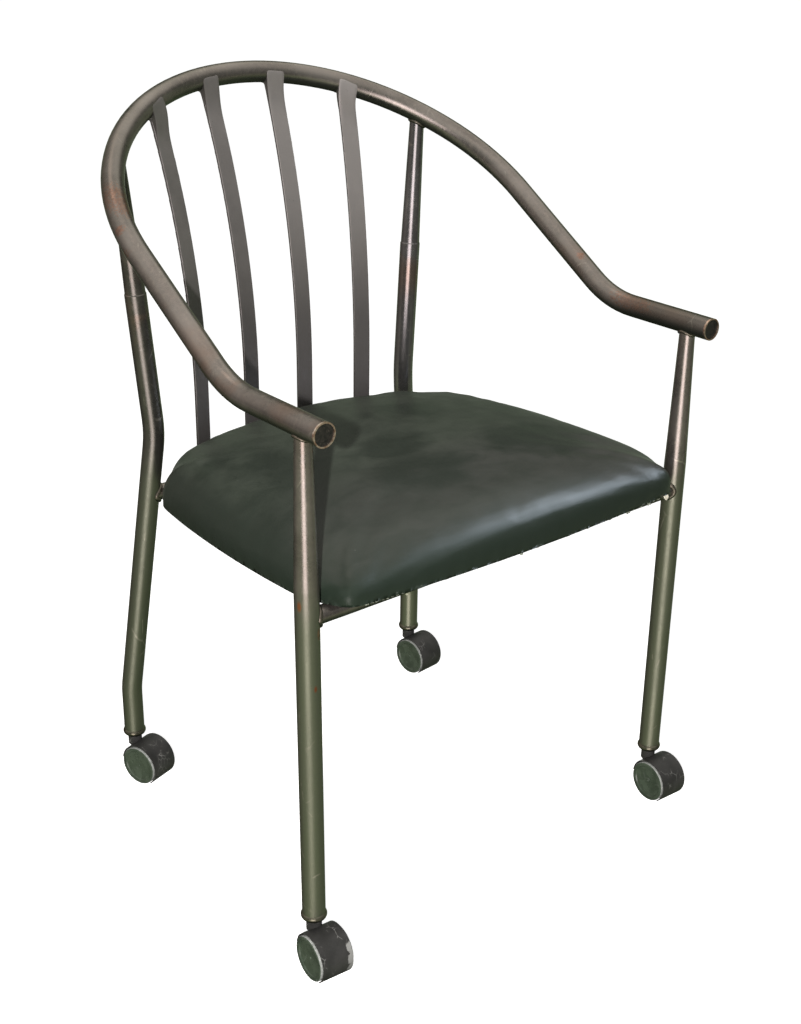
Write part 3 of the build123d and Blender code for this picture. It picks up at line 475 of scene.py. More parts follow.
for n in nodes:
    if n == "hoop_rail":
        dress(n, M_HOOP)
    elif n.startswith(("front_leg", "rear_leg")):
        dress(n, {"rear_leg_left": M_LEG_RL_SHADED, "rear_leg_right": M_LEG_RR}.get(n, M_LEG))
    elif n.startswith(("seat_rail", "seat_mounting")):
        dress(n, M_RAIL)
    elif n.startswith("back_slat"):
        dress(n, M_SLAT)
    elif n.startswith("arm_end_cap"):
        dress(n, M_CAP)
    elif n.startswith("caster_socket"):
        dress(n, M_COLLAR)
    elif n.startswith(("caster_stem", "stem_grip", "caster_axle")) or n == "seat_screws":
        dress(n, M_STEEL)
    elif n == "cover_staples":
        dress(n, M_STAPLE)
    elif n == "seat_dust_cloth":
        dress(n, M_CLOTH)
    elif n == "seat_board":
        dress(n, M_BOARD)
    elif n == "seat_foam":
        dress(n, M_FOAM)
    elif n == "seat_cover":
        dress(n, M_VINYL)
    elif n.startswith("caster_hood"):
        dress(n, M_HOOD_FL if n.endswith("front_left") else M_HOOD)
    elif n.startswith("wheel_core"):
        dress(n, M_WHEEL[n[len("wheel_core_"):-2]])
    elif n.startswith("wheel_tread"):
        dress(n, M_TREAD[n[len("wheel_tread_"):-2]])


# ---------------------------------------------------------------------------
# Mesh helpers
# ---------------------------------------------------------------------------
def piece(name, verts_mm, faces, material, body="frame", smooth=True, crease=None):
    """A new mesh piece from vertices in millimetres, riding on a body."""
    me = bpy.data.meshes.new(name)
    me.from_pydata([tuple(float(c) * MM for c in v) for v in verts_mm], [], faces)
    me.validate()
    bm = bmesh.new()
    bm.from_mesh(me)
    bmesh.ops.recalc_face_normals(bm, faces=bm.faces)
    if crease:
        for e in bm.edges:
            if len(e.link_faces) == 2 and e.calc_face_angle() > crease:
                e.smooth = False
    bm.to_mesh(me)
    bm.free()
    me.materials.append(material)
    if smooth:
        me.polygons.foreach_set("use_smooth", [True] * len(me.polygons))
    o = bpy.data.objects.new(name, me)
    bpy.context.scene.collection.objects.link(o)
    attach(o, body)
    return o


def tube_along(line, radii, sides=12, closed=True):
    """Vertices and faces of a round bead along a polyline."""
    n = len(line)
    nxt, prv = np.roll(line, -1, 0), np.roll(line, 1, 0)
    if not closed:
        nxt[-1], prv[0] = line[-1], line[0]
    tan = nxt - prv
    tan /= np.linalg.norm(tan, axis=1)[:, None]
    mid = line.mean(0)
    ref = line - mid
    ref -= (ref * tan).sum(1)[:, None] * tan
    ref /= np.maximum(np.linalg.norm(ref, axis=1), 1e-9)[:, None]
    bi = np.cross(tan, ref)
    ang = np.linspace(0, 2 * math.pi, sides, endpoint=False)
    v = (line[:, None, :] + radii[:, None, None] * (np.cos(ang)[None, :, None] * ref[:, None, :] + np.sin(ang)[None, :, None] * bi[:, None, :]))
    verts = v.reshape(-1, 3)
    faces = []
    for i in range(n if closed else n - 1):
        j = (i + 1) % n
        for k in range(sides):
            l = (k + 1) % sides
            faces.append((i * sides + k, i * sides + l, j * sides + l, j * sides + k))
    if not closed:
        faces.append(tuple(range(sides)))
        faces.append(tuple((n - 1) * sides + k for k in range(sides)))
    return verts, faces


def bead_radii(line, r0, ripple, phase):
    """Weld bead thickness: overlapping ripples plus a slow wander."""
    s = np.concatenate([[0], np.cumsum(np.linalg.norm(np.diff(line, axis=0), axis=1))])
    wander = np.array([noise.noise(Vector((x * 0.16 + phase, phase * 2.3, 0.0))) for x in s])
    return r0 * (1 + 0.10 * np.abs(np.sin(math.pi * s / ripple)) + 0.22 * wander)


def ring_on(axis_a, axis_b, r_a, r_b, hit, count=72):
    """Closed curve where a round (possibly tapering) tube first meets another: walks each generator from a to b."""
    d = unit(axis_b - axis_a)
    e1 = unit(np.cross(d, np.array([0.3, 0.9, 0.2])))
    e2 = np.cross(d, e1)
    out = []
    for ph in np.linspace(0, 2 * math.pi, count, endpoint=False):
        radial = math.cos(ph) * e1 + math.sin(ph) * e2
        t = np.linspace(0, 1, 600)
        p = axis_a + t[:, None] * (axis_b - axis_a) + (r_a + t * (r_b - r_a))[:, None] * radial
        inside = np.nonzero(hit(p))[0]
        if len(inside):
            out.append(p[inside[0]])
    return np.array(out)


def in_hoop(p):
    near = np.abs(HOOP - p.mean(0)).max(1) < 140
    idx = np.nonzero(near)[0]
    return nearest_on(HOOP[idx.min():idx.max() + 1], p)[2] <= TUBE_R


def in_line(a, b, r):
    def f(p):
        d = unit(b - a)
        w = p - a
        return np.linalg.norm(w - (w @ d)[:, None] * d, axis=1) <= r
    return f


def weld(name, ring, r0, phase, material=None):
    v, f = tube_along(ring, bead_radii(ring, r0, 2.6, phase))
    return piece(name, v, f, material or M_WELD)


# ---------------------------------------------------------------------------
# Weld beads
# ---------------------------------------------------------------------------
for side, sx in (("left", -1), ("right", 1)):
    m = np.array([sx, 1, 1])
    foot, top = FRONT_FOOT * m, FRONT_TOP * m
    k0 = 0.90
    a = foot + (top - foot) * k0
    ks = (FRONT_SWAGE_Z - 63.1) / (620.1 - 63.1)
    ra = TUBE_R + (SWAGE_R - TUBE_R) * (k0 - ks) / (1 - ks)
    weld(f"weld_arm_{side}", ring_on(a, top, ra, SWAGE_R, in_hoop), 2.0, 1.7 + sx)
    bend, rtop = REAR_BEND * m, REAR_TOP * m
    k0 = 0.86
    a = bend + (rtop - bend) * k0
    ks = (REAR_SWAGE_Z - REAR_BEND[2]) / (REAR_TOP[2] - REAR_BEND[2])
    ra = TUBE_R + (SWAGE_R - TUBE_R) * (k0 - ks) / (1 - ks)
    weld(f"weld_back_{side}", ring_on(a, rtop + (rtop - bend) * 0.03, ra, SWAGE_R, in_hoop), 2.3, 4.1 + sx)
    # seat rails to the legs
    z = RAIL_Z0 - SEAT_DROP * -231.0
    k = (z - 63.1) / (620.1 - 63.1)
    leg = foot + (top - foot) * k
    weld(f"weld_rail_front_{side}", ring_on(leg - np.array([sx * 34.0, 0, 0]), leg, RAIL_R, RAIL_R, in_line(foot, top, TUBE_R)), 2.6, 6.2 + sx)
    z = RAIL_Z0 - SEAT_DROP * 183.0
    k = (z - REAR_FOOT[2]) / (REAR_BEND[2] - REAR_FOOT[2])
    lo = np.array(REAR_FOOT) * m
    leg = lo + (bend - lo) * k
    bow_r = BACK_PLAN_R + SLAT_T / 2 + 0.25 + RAIL_R
    bow_a = math.asin(152.0 / bow_r)
    end_y = BACK_PLAN_Y + bow_r * math.cos(bow_a) - 60.0 * (1 - math.cos(bow_a))
    c = np.array([leg[0], end_y, z])
    weld(f"weld_rail_rear_{side}", ring_on(c - np.array([sx * 26.0, 0, 0]), c, RAIL_R, RAIL_R, in_line(lo, bend, TUBE_R)), 2.6, 8.3 + sx)


# slat tops: weld metal ground into a fairing that carries the slat's face up onto the tube
def slat_frame(pair, sx):
    x0 = sx * SLAT_X[pair]
    turn = math.asin(x0 / BACK_PLAN_R)
    y0 = BACK_PLAN_Y + BACK_PLAN_R * math.cos(turn)
    out = np.array([math.sin(turn), math.cos(turn), 0])
    wide = np.array([math.cos(turn), -math.sin(turn), 0])
    lr, lz = SLAT_LEAN_R[pair], SLAT_LEAN_Z[pair]

    def at(a):
        return np.array([x0, y0, lz]) + out * lr * (1 - math.cos(a)) + np.array([0, 0, lr * math.sin(a)])

    def ahead(a):
        return out * math.sin(a) + np.array([0, 0, math.cos(a)])

    def front(a):
        return -out * math.cos(a) + np.array([0, 0, math.sin(a)])

    return at, ahead, front, wide, lr


def slat_weld(name, pair, sx, face):
    """face +1 is the front of the slat, -1 the back."""
    at, ahead, front, wide, lr = slat_frame(pair, sx)
    rows, cols = 18, 15
    grid, under = [], []
    for j in range(cols):
        q = -1 + 2 * j / (cols - 1)
        v = q * (SLAT_W / 2 - 0.2)
        angles = np.linspace(0.26, 0.42, 800)
        pts = np.array([at(a) + front(a) * face * SLAT_T / 2 + wide * v for a in angles])
        hit = np.nonzero(in_hoop(pts))[0]
        a = angles[hit[0]]
        joint = pts[hit[0]]
        h, tau, _ = nearest_on(HOOP, joint)
        h, tau = h[0], tau[0]
        jn = unit(joint - h)
        low = (40.0 if face > 0 else 4.0) + 0.8 * noise.noise(Vector((q * 3.1, sx * 2.0 + pair, face)))
        p0 = at(a - low / lr) + front(a - low / lr) * face * SLAT_T / 2 + wide * v
        psi = 62.0 if face > 0 else 26.0
        best = None
        for s in (1, -1):
            rot = np.array(Matrix.Rotation(s * math.radians(psi), 3, Vector(tau)))
            e = rot @ jn
            if best is None or e @ front(a) * face > best @ front(a) * face:
                best, sgn = e, s
        p1 = h + best * (TUBE_R + 0.3)
        t1 = np.cross(tau, best) * sgn
        t0 = ahead(a - low / lr)
        d = np.linalg.norm(p1 - p0)
        fr = front(a) * face
        col, back = [], []
        for i in range(rows):
            t = min(1.0, i / (rows - 4))
            b = ((1 - t) ** 3 * p0 + 3 * (1 - t) ** 2 * t * (p0 + t0 * d * 0.40) + 3 * (1 - t) * t ** 2 * (p1 - t1 * d * 0.40) + t ** 3 * p1)
            if i > rows - 4:
                # the last rows lie on the tube and run out there
                k = (i - (rows - 4)) / 3.0
                more = (7.0 + 3.0 * noise.noise(Vector((q * 1.2, 7.0 + sx + pair, face)))) if face > 0 else 6.0
                rot = np.array(Matrix.Rotation(sgn * math.radians(more * k), 3, Vector(tau)))
                b = h + (rot @ best) * (TUBE_R + 0.3 - 0.26 * k)
            b = b + wide * q * (0.8 if face > 0 else 1.2) * t * t
            # sink the two side edges a little so they run out on the tube and slat
            sink = (abs(q) ** 8) * 0.4
            col.append(b - fr * sink + fr * 0.06)
            # the back of the weld lies inside the slat or the tube
            deep = 4.0 if face < 0 else max(1.5, (b - p0) @ fr + 1.5)
            back.append(b - fr * min(deep, 9.0))
        grid.append(col)
        under.append(back)
    verts = [p for c in grid for p in c] + [p for c in under for p in c]
    off = rows * cols
    faces = []
    for j in range(cols - 1):
        for i in range(rows - 1):
            q = (j * rows + i, j * rows + i + 1, (j + 1) * rows + i + 1, (j + 1) * rows + i)
            faces.append(q)
            faces.append(tuple(off + k for k in reversed(q)))
    rim = [j * rows for j in range(cols)] + [(cols - 1) * rows + i for i in range(1, rows)] \
        + [j * rows + rows - 1 for j in range(cols - 2, -1, -1)] + [i for i in range(rows - 2, 0, -1)]
    for a, b in zip(rim, rim[1:] + rim[:1]):
        faces.append((a, b, off + b, off + a))
    return piece(name, verts, faces, M_SLAT, crease=0.6)


for number, (pair, sx) in enumerate(((1, -1), (0, -1), (0, 1), (1, 1)), start=1):
    slat_weld(f"slat_fairing_{number}", pair, sx, 1)
    slat_weld(f"slat_back_weld_{number}", pair, sx, -1)


# ---------------------------------------------------------------------------
# Seat cushion
# ---------------------------------------------------------------------------
tilt = math.atan(SEAT_DROP)
SEAT_N = np.array([0, math.sin(tilt), math.cos(tilt)])
SEAT_Y = np.array([0, math.cos(tilt), -math.sin(tilt)])
SEAT_O = np.array([0, 0, RAIL_Z0]) + SEAT_N * RAIL_TO_SEAT


def seat_point(x, y, h):
    return SEAT_O + np.outer(np.ravel(x), [1, 0, 0]) + np.outer(np.ravel(y), SEAT_Y) + np.outer(np.ravel(h), SEAT_N)


def arc3(a, b, c, n):
    a, b, c = (np.array(p, float) for p in (a, b, c))
    ctr = np.linalg.solve(2 * np.array([b - a, c - a]), np.array([b @ b - a @ a, c @ c - a @ a]))
    r = np.linalg.norm(a - ctr)
    t = np.unwrap([math.atan2(*(p - ctr)[::-1]) for p in (a, b, c)])
    tt = np.linspace(t[0], t[2], n)
    return np.stack([ctr[0] + r * np.cos(tt), ctr[1] + r * np.sin(tt)], -1)


def pad_outline(count=260):
    """Plan of the pad with rounded corners, evenly spaced points."""
    raw = np.vstack([
        arc3((-236, -258), (0, -270), (236, -258), 400), arc3((255, -208), (247.5, -50), (223, 113), 300),
        arc3((178, 160), (0, 184), (-178, 160), 320), arc3((-223, 113), (-247.5, -50), (-255, -208), 300)])
    loop = np.vstack([raw, raw[:1]])
    s = np.concatenate([[0], np.cumsum(np.linalg.norm(np.diff(loop, axis=0), axis=1))])
    fine = np.linspace(0, s[-1], 2000, endpoint=False)
    p = np.stack([np.interp(fine, s, loop[:, i]) for i in range(2)], -1)
    step = s[-1] / 2000
    k = np.exp(-0.5 * (np.arange(-60, 61) * step / 9.0) ** 2)
    k /= k.sum()
    p = np.stack([np.convolve(np.concatenate([p[-60:, i], p[:, i], p[:60, i]]), k, "valid") for i in range(2)], -1)
    return p[:: 2000 // count][:count]


OUTLINE = pad_outline(250)


def edge_distance(x, y):
    pts = np.stack([np.ravel(x), np.ravel(y)], -1)
    a = OUTLINE
    b = np.roll(OUTLINE, -1, 0)
    ab = b - a
    d = np.full(len(pts), 1e9)
    for i in range(0, len(pts), 4000):
        p = pts[i:i + 4000, None, :]
        t = np.clip(((p - a) * ab).sum(-1) / (ab * ab).sum(-1), 0, 1)
        d[i:i + 4000] = np.linalg.norm(p - (a + t[..., None] * ab), axis=-1).min(1)
    return d


def smooth01(t):
    t = np.clip(t, 0.0, 1.0)
    return t * t * (3 - 2 * t)


def pad_height(x, y, grow=1.0):
    """Height of the padded top over the seat plane: a low crown with a full roll at the front and a tighter one behind."""
    x, y = np.ravel(x), np.ravel(y)
    roll = 66.0 - 30.0 * smooth01((y + 140.0) / 200.0) + 16.0 * smooth01((-x - 110.0) / 90.0) * smooth01((y + 150.0) / 120.0)
    full = 2.7 + 0.55 * x / 240.0
    d = edge_distance(x, y)
    d = d * (1 - 0.30 * np.exp(-((np.abs(x) - 244.0) ** 2 + (y + 236.0) ** 2) / 48.0 ** 2))
    d = np.minimum(d, roll) / roll
    crown = 71.6 - (x ** 2 + (y + 12.0) ** 2) / (2 * 1693.0)
    return 11.0 + (crown - 11.0) * grow * (1 - (1 - d) ** full) ** (1 / full)


def build_cushion(grow, inset):
    """Closed pad: padded top, hem wall, flat underside where it rests on the board."""
    centre = np.array([0.0, -40.0])
    n = len(OUTLINE)
    rings = 60
    t = 1 - (1 - np.linspace(0.0, 1.0, rings + 1)[1:]) ** 1.7
    verts = [seat_point(centre[0], centre[1], pad_height(centre[0], centre[1], grow))[0]]
    shrink = 1 - inset / 240.0
    for k in t:
        p = centre + (OUTLINE - centre) * k
        h = pad_height(p[:, 0], p[:, 1], grow)
        q = centre + (p - centre) * shrink
        verts += list(seat_point(q[:, 0], q[:, 1], h))
    walls = [9.0, 6.0, 3.0, 1.0, 0.15]
    for w in walls:
        p = centre + (OUTLINE - centre) * shrink
        verts += list(seat_point(p[:, 0], p[:, 1], np.full(n, w)))
    for k in (0.985, 0.95, 0.88, 0.6, 0.3):
        p = centre + (OUTLINE - centre) * k
        verts += list(seat_point(p[:, 0], p[:, 1], np.full(n, 0.12)))
    verts.append(seat_point(centre[0], centre[1], 0.12)[0])
    total = rings + len(walls) + 5
    faces = [(0, 1 + i, 1 + (i + 1) % n) for i in range(n)]
    for r in range(total - 1):
        for i in range(n):
            j = (i + 1) % n
            faces.append((1 + r * n + i, 1 + (r + 1) * n + i, 1 + (r + 1) * n + j, 1 + r * n + j))
    last = len(verts) - 1
    faces += [(1 + (total - 1) * n + (i + 1) % n, 1 + (total - 1) * n + i, last) for i in range(n)]
    return piece("seat_cushion", verts, faces, M_VINYL)


def coords(me):
    co = np.empty(len(me.vertices) * 3)
    me.vertices.foreach_get("co", co)
    return co.reshape(-1, 3)


def put_coords(me, co):
    me.vertices.foreach_set("co", np.ascontiguousarray(co, dtype=np.float32).ravel())
    me.update()


def seat_local(co_mm):
    """x, y along the seat plane and height over it, for points in millimetres."""
    d = co_mm - SEAT_O
    return d[:, 0], d @ SEAT_Y, d @ SEAT_N


def freeze(obj):
    """Replaces an object's mesh by what its modifiers make of it."""
    deps = bpy.context.evaluated_depsgraph_get()
    me = bpy.data.meshes.new_from_object(obj.evaluated_get(deps))
    obj.modifiers.clear()
    obj.data = me


def inflate(obj):
    """Cloth under pressure, held at the stapled hem; how far a point may move is capped."""
    re = obj.modifiers.new("remesh", "REMESH")
    re.mode = "VOXEL"
    re.voxel_size = 0.006
    freeze(obj)
    start = coords(obj.data)
    x, y, h = seat_local(start / MM)
    hold = obj.vertex_groups.new(name="hem")
    hold.add([int(i) for i in np.nonzero(h < 7.5)[0]], 1.0, "REPLACE")
    cloth = obj.modifiers.new("cloth", "CLOTH")
    c = cloth.settings
    c.quality = 6
    c.mass = 0.35
    c.tension_stiffness = c.compression_stiffness = 25
    c.shear_stiffness = 8
    c.bending_stiffness = 1.5
    c.use_pressure = True
    c.uniform_pressure_force = 4.0
    c.vertex_group_mass = "hem"
    c.effector_weights.gravity = 0.0
    cloth.collision_settings.use_collision = False
    cloth.collision_settings.use_self_collision = False
    scene = bpy.context.scene
    for f in range(1, 21):
        scene.frame_set(f)
    deps = bpy.context.evaluated_depsgraph_get()
    ev = obj.evaluated_get(deps).to_mesh()
    moved = coords(ev) - start
    obj.evaluated_get(deps).to_mesh_clear()
    obj.modifiers.remove(cloth)
    obj.vertex_groups.clear()
    scene.frame_set(1)
    # the crown settles at the height the foam gives it; no point moves over 12 mm
    middle = (np.abs(x) < 60) & (np.abs(y + 40) < 60) & (h > 30)
    rise = float((moved[middle] @ SEAT_N).mean()) / MM
    lack = float((pad_height(x[middle], y[middle]) - h[middle]).mean())
    moved *= np.clip(lack / rise if rise > 0.2 else 1.0, 0.2, 2.5)
    far = np.linalg.norm(moved, axis=1)
    moved *= np.minimum(1.0, 0.012 / np.maximum(far, 1e-9))[:, None]
    put_coords(obj.data, start + moved)
    sub = obj.modifiers.new("smooth", "SUBSURF")
    sub.levels = sub.render_levels = 1
    freeze(obj)
    return rise, lack


cushion = build_cushion(0.93, -2.0)
inflate(cushion)
cushion.data.polygons.foreach_set("use_smooth", [True] * len(cushion.data.polygons))


def gather(obj):
    """Where the cover is pulled round the corners and stapled it puckers; the top has shallow hollows from use."""
    co = coords(obj.data) / MM
    x, y, h = seat_local(co)
    out = np.stack([x, y + 40.0], -1)
    out /= np.maximum(np.linalg.norm(out, axis=1), 1e-6)[:, None]
    ang = np.arctan2(x, -(y + 40.0))
    push = np.zeros(len(co))
    drop = np.zeros(len(co))
    # corner pleats: (bearing of the corner, spread, height they run up to)
    for bearing, spread, reach in ((-0.84, 0.15, 19.0), (0.84, 0.15, 19.0), (-2.17, 0.18, 16.0), (2.17, 0.18, 16.0)):
        da = ang - bearing
        near = np.exp(-(da / spread) ** 2)
        fade = smooth01((reach - h) / reach) * smooth01((h - 0.4) / 3.0)
        push += near * fade * (0.9 * np.sin(da * 66.0 + 0.6 * h / 10.0) - 0.2)
    # a slight pull at each staple along the hem
    edge_s = np.interp(ang, np.linspace(-math.pi, math.pi, 9), np.linspace(0, 1800, 9))
    push += smooth01((16.0 - h) / 14.0) * smooth01((h - 0.4) / 3.0) * 0.45 * np.sin(edge_s / 26.0 * 2 * math.pi)
    for i in np.nonzero(h > 24.0)[0]:
        v = Vector((x[i] / 95.0, y[i] / 95.0, 3.1))
        drop[i] = 0.9 * noise.noise(v) + 0.35 * noise.noise(v * 3.3)
    co[:, 0] += out[:, 0] * push
    co += np.outer(out[:, 1] * push, SEAT_Y)
    co += np.outer(drop * smooth01((h - 24.0) / 20.0), SEAT_N)
    put_coords(obj.data, co * MM)


def square_hem(obj):
    """The stapled hem: a short upright wall round the board, turned under flat."""
    co = coords(obj.data) / MM
    x, y, h = seat_local(co)
    low = np.nonzero(h < 15.0)[0]
    pts = np.stack([x[low], y[low]], -1)
    a, b = OUTLINE, np.roll(OUTLINE, -1, 0)
    ab = b - a
    t = np.clip(((pts[:, None, :] - a) * ab).sum(-1) / (ab * ab).sum(-1), 0, 1)
    q = a + t[..., None] * ab
    k = np.linalg.norm(pts[:, None, :] - q, axis=-1).argmin(1)
    i = np.arange(len(low))
    foot = q[i, k]
    nrm = np.stack([ab[k, 1], -ab[k, 0]], -1)
    nrm /= np.linalg.norm(nrm, axis=1)[:, None]
    nrm *= np.sign((nrm * (foot - np.array([0.0, -40.0]))).sum(1))[:, None]
    gap = ((pts - foot) * nrm).sum(1)
    hl = h[low].copy()
    # wall points go out to 1.7 mm past the plan, less and less towards the roll above
    blend = smooth01((15.0 - hl) / 7.0)
    wall = gap > -6.5
    want = np.where(wall, np.maximum(gap, 1.7 * blend + gap * (1 - blend)), gap)
    new = foot + nrm * want[:, None]
    flat = np.where(hl < 3.2, 0.12, hl)
    co[low] = seat_point(new[:, 0], new[:, 1], flat)
    put_coords(obj.data, co * MM)


square_hem(cushion)
gather(cushion)
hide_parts("seat_cover", "seat_foam")


# frayed backing along the front hem, and a torn corner of cover at the right
def front_edge(x):
    """Plan point on the front edge of the pad at x, and its outward direction."""
    k = OUTLINE[(OUTLINE[:, 1] < -180)]
    k = k[np.argsort(k[:, 0])]
    i = int(np.clip(np.searchsorted(k[:, 0], x), 1, len(k) - 2))
    t = unit(k[i + 1] - k[i - 1])
    return np.array([x, np.interp(x, k[:, 0], k[:, 1])]), np.array([t[1], -t[0]])


def flap(cx, width, length, lean, seed, thick=0.5):
    """Small ragged tongue hanging from the hem."""
    r = np.random.default_rng(seed)
    pts, outd = front_edge(cx)
    cols, rows = 6, 5
    ragged = length * (0.55 + 0.45 * r.random(cols))
    ragged[0] *= 0.5
    ragged[-1] *= 0.6
    verts = []
    for side in (0.0, thick):
        for i in range(cols):
            q = i / (cols - 1) - 0.5
            e, o2 = front_edge(cx + q * width * (1.0 + 0.15 * r.random()))
            for j in range(rows):
                k = j / (rows - 1)
                off = o2 * (0.4 + side + lean * k * k * length)
                verts.append(seat_point(e[0] + off[0], e[1] + off[1], 2.0 - k * (ragged[i] + 2.0))[0])
    faces = []
    n = cols * rows
    for i in range(cols - 1):
        for j in range(rows - 1):
            f = (i * rows + j, i * rows + j + 1, (i + 1) * rows + j + 1, (i + 1) * rows + j)
            faces.append(f)
            faces.append(tuple(n + k for k in reversed(f)))
    rim = [i * rows for i in range(cols)] + [(cols - 1) * rows + j for j in range(1, rows)] \
        + [i * rows + rows - 1 for i in range(cols - 2, -1, -1)] + [j for j in range(rows - 2, 0, -1)]
    for u, v in zip(rim, rim[1:] + rim[:1]):
        faces.append((u, v, n + v, n + u))
    return verts, faces


M_FRAY = plain("frayed_backing", [(0.30, (0.035, 0.04, 0.03)), (0.52, (0.15, 0.165, 0.13)), (0.74, (0.36, 0.37, 0.31))], 650.0, (0.8, 0.95), 0.0, (0.6, 0.0006))
verts, faces = [], []
for k, (cx, width, length, lean) in enumerate((
        (-217, 5, 1.3, 0.1), (-211, 4, 0.9, 0.1), (-206, 3, 1.2, 0.1), (-199, 5, 1.0, 0.1), (-193, 3, 1.4, 0.1), (-187, 4, 0.9, 0.1),
        (-181, 3, 1.1, 0.1), (-174, 4, 0.8, 0.1), (-120, 6, 0.8, 0.0), (-18, 4, 2.6, 0.2), (6, 5, 0.9, 0.0), (52, 7, 1.0, 0.0),
        (84, 4, 1.2, 0.1), (121, 5, 1.3, 0.1), (134, 3, 1.0, 0.1), (152, 6, 2.6, 0.3), (163, 4, 1.4, 0.1), (176, 5, 1.6, 0.1),
        (190, 6, 3.4, 0.2), (199, 4, 1.6, 0.1), (208, 5, 2.2, 0.1))):
    v, f = flap(cx, width, length, lean, 40 + k)
    faces += [tuple(i + len(verts) for i in g) for g in f]
    verts += v
piece("hem_fray", verts, faces, M_FRAY)
v, f = flap(222, 9, 6.0, 0.35, 71, 0.7)
M_TAG = plain("torn_backing", [(0.3, (0.34, 0.32, 0.26)), (0.7, (0.54, 0.52, 0.44))], 420.0, (0.75, 0.95), 0.0, (0.5, 0.0006))
piece("torn_cover_corner", v, f, M_TAG)


# dust cloth under the seat: stretched black cloth, slack between the rails
def dust_cloth():
    centre = np.array([0.0, -40.0])
    d_in = 16.0
    nrm = np.roll(OUTLINE, -1, 0) - np.roll(OUTLINE, 1, 0)
    nrm /= np.linalg.norm(nrm, axis=1)[:, None]
    inner = OUTLINE + np.stack([-nrm[:, 1], nrm[:, 0]], -1) * d_in
    n = len(inner)
    rings = 40
    layers = []
    for side in (0.0, -0.45):
        rows = []
        for k in np.linspace(1.0, 0.02, rings):
            p = centre + (inner - centre) * k
            slack = smooth01((118.0 - np.abs(p[:, 0])) / 40.0) * smooth01((p[:, 1] + 205.0) / 60.0) * smooth01((150.0 - p[:, 1]) / 60.0)
            wave = np.array([noise.noise(Vector((a / 60.0, b / 38.0, 5.0))) for a, b in p])
            pull = 0.10 * np.sin(np.arange(n) * 2 * math.pi / 9.0) * smooth01((k - 0.93) / 0.07)
            rows.append(seat_point(p[:, 0], p[:, 1], -0.02 + side * 0.9 + np.minimum(0.0, pull) - slack * (2.6 + 1.3 * wave)))
        layers.append(rows)
    verts = [q for rows in layers for ring in rows for q in ring]
    per = rings * n
    faces = []
    for r in range(rings - 1):
        for i in range(n):
            j = (i + 1) % n
            f = (r * n + i, r * n + j, (r + 1) * n + j, (r + 1) * n + i)
            faces.append(f)
            faces.append(tuple(per + v for v in reversed(f)))
    for i in range(n):
        j = (i + 1) % n
        faces.append((i, per + i, per + j, j))
    faces.append(tuple((rings - 1) * n + i for i in range(n)))
    faces.append(tuple(per + (rings - 1) * n + i for i in reversed(range(n))))
    o = piece("dust_cloth", verts, faces, M_CLOTH)
    x, y = inner[:, 0], inner[:, 1]
    area = abs(float((x * np.roll(y, -1) - np.roll(x, -1) * y).sum())) / 2 * 1e-6
    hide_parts("seat_dust_cloth")
    return area


CLOTH_AREA = dust_cloth()


# ---------------------------------------------------------------------------
# Floor, light and camera
# ---------------------------------------------------------------------------
def floor_material():
    mt = Mat("pale_floor")
    f = mt.noise(3.0, 3.0)
    mt.set(Base_Color=mt.ramp(f, [(0.3, (0.46, 0.46, 0.455)), (0.7, (0.48, 0.48, 0.475))]), Roughness=0.9)
    mt.b.inputs["Specular IOR Level"].default_value = 0.05
    mt.b.inputs["Emission Color"].default_value = (1.0, 1.0, 0.995, 1)
    mt.b.inputs["Emission Strength"].default_value = 0.98
    return mt.m


bpy.ops.mesh.primitive_plane_add(size=120.0, location=(0, 0, -0.0004))
floor = bpy.context.object
floor.name = "floor"
floor.data.materials.append(floor_material())
floor.visible_glossy = False
floor.visible_diffuse = False

world = bpy.data.worlds.new("studio")
bpy.context.scene.world = world
world.use_nodes = True
wt = world.node_tree
bg = wt.nodes["Background"]


def wnode(kind, **props):
    n = wt.nodes.new(kind)
    for k, v in props.items():
        setattr(n, k, v)
    return n


# the room that the steel mirrors: pale ceiling, dim walls, olive floor, and a brighter patch towards the lamp
direction = wnode("ShaderNodeTexCoord").outputs["Generated"]
split = wnode("ShaderNodeSeparateXYZ")
wt.links.new(direction, split.inputs[0])
toward = wnode("ShaderNodeVectorMath", operation="DOT_PRODUCT")
wt.links.new(direction, toward.inputs[0])
toward.inputs[1].default_value = (-0.66, -0.75, 0.0)
level = wnode("ShaderNodeVectorMath", operation="MULTIPLY")
wt.links.new(direction, level.inputs[0])
level.inputs[1].default_value = (1.0, 1.0, 0.0)
level_n = wnode("ShaderNodeVectorMath", operation="NORMALIZE")
wt.links.new(level.outputs[0], level_n.inputs[0])
bearing = wnode("ShaderNodeVectorMath", operation="DOT_PRODUCT")
wt.links.new(level_n.outputs[0], bearing.inputs[0])
bearing.inputs[1].default_value = (-0.70, -0.714, 0.0)


def wrange(value, lo, hi, a, b):
    n = wnode("ShaderNodeMapRange", interpolation_type="SMOOTHSTEP")
    wt.links.new(value, n.inputs["Value"])
    for k, v in zip(("From Min", "From Max", "To Min", "To Max"), (lo, hi, a, b)):
        n.inputs[k].default_value = v
    return n.outputs["Result"]


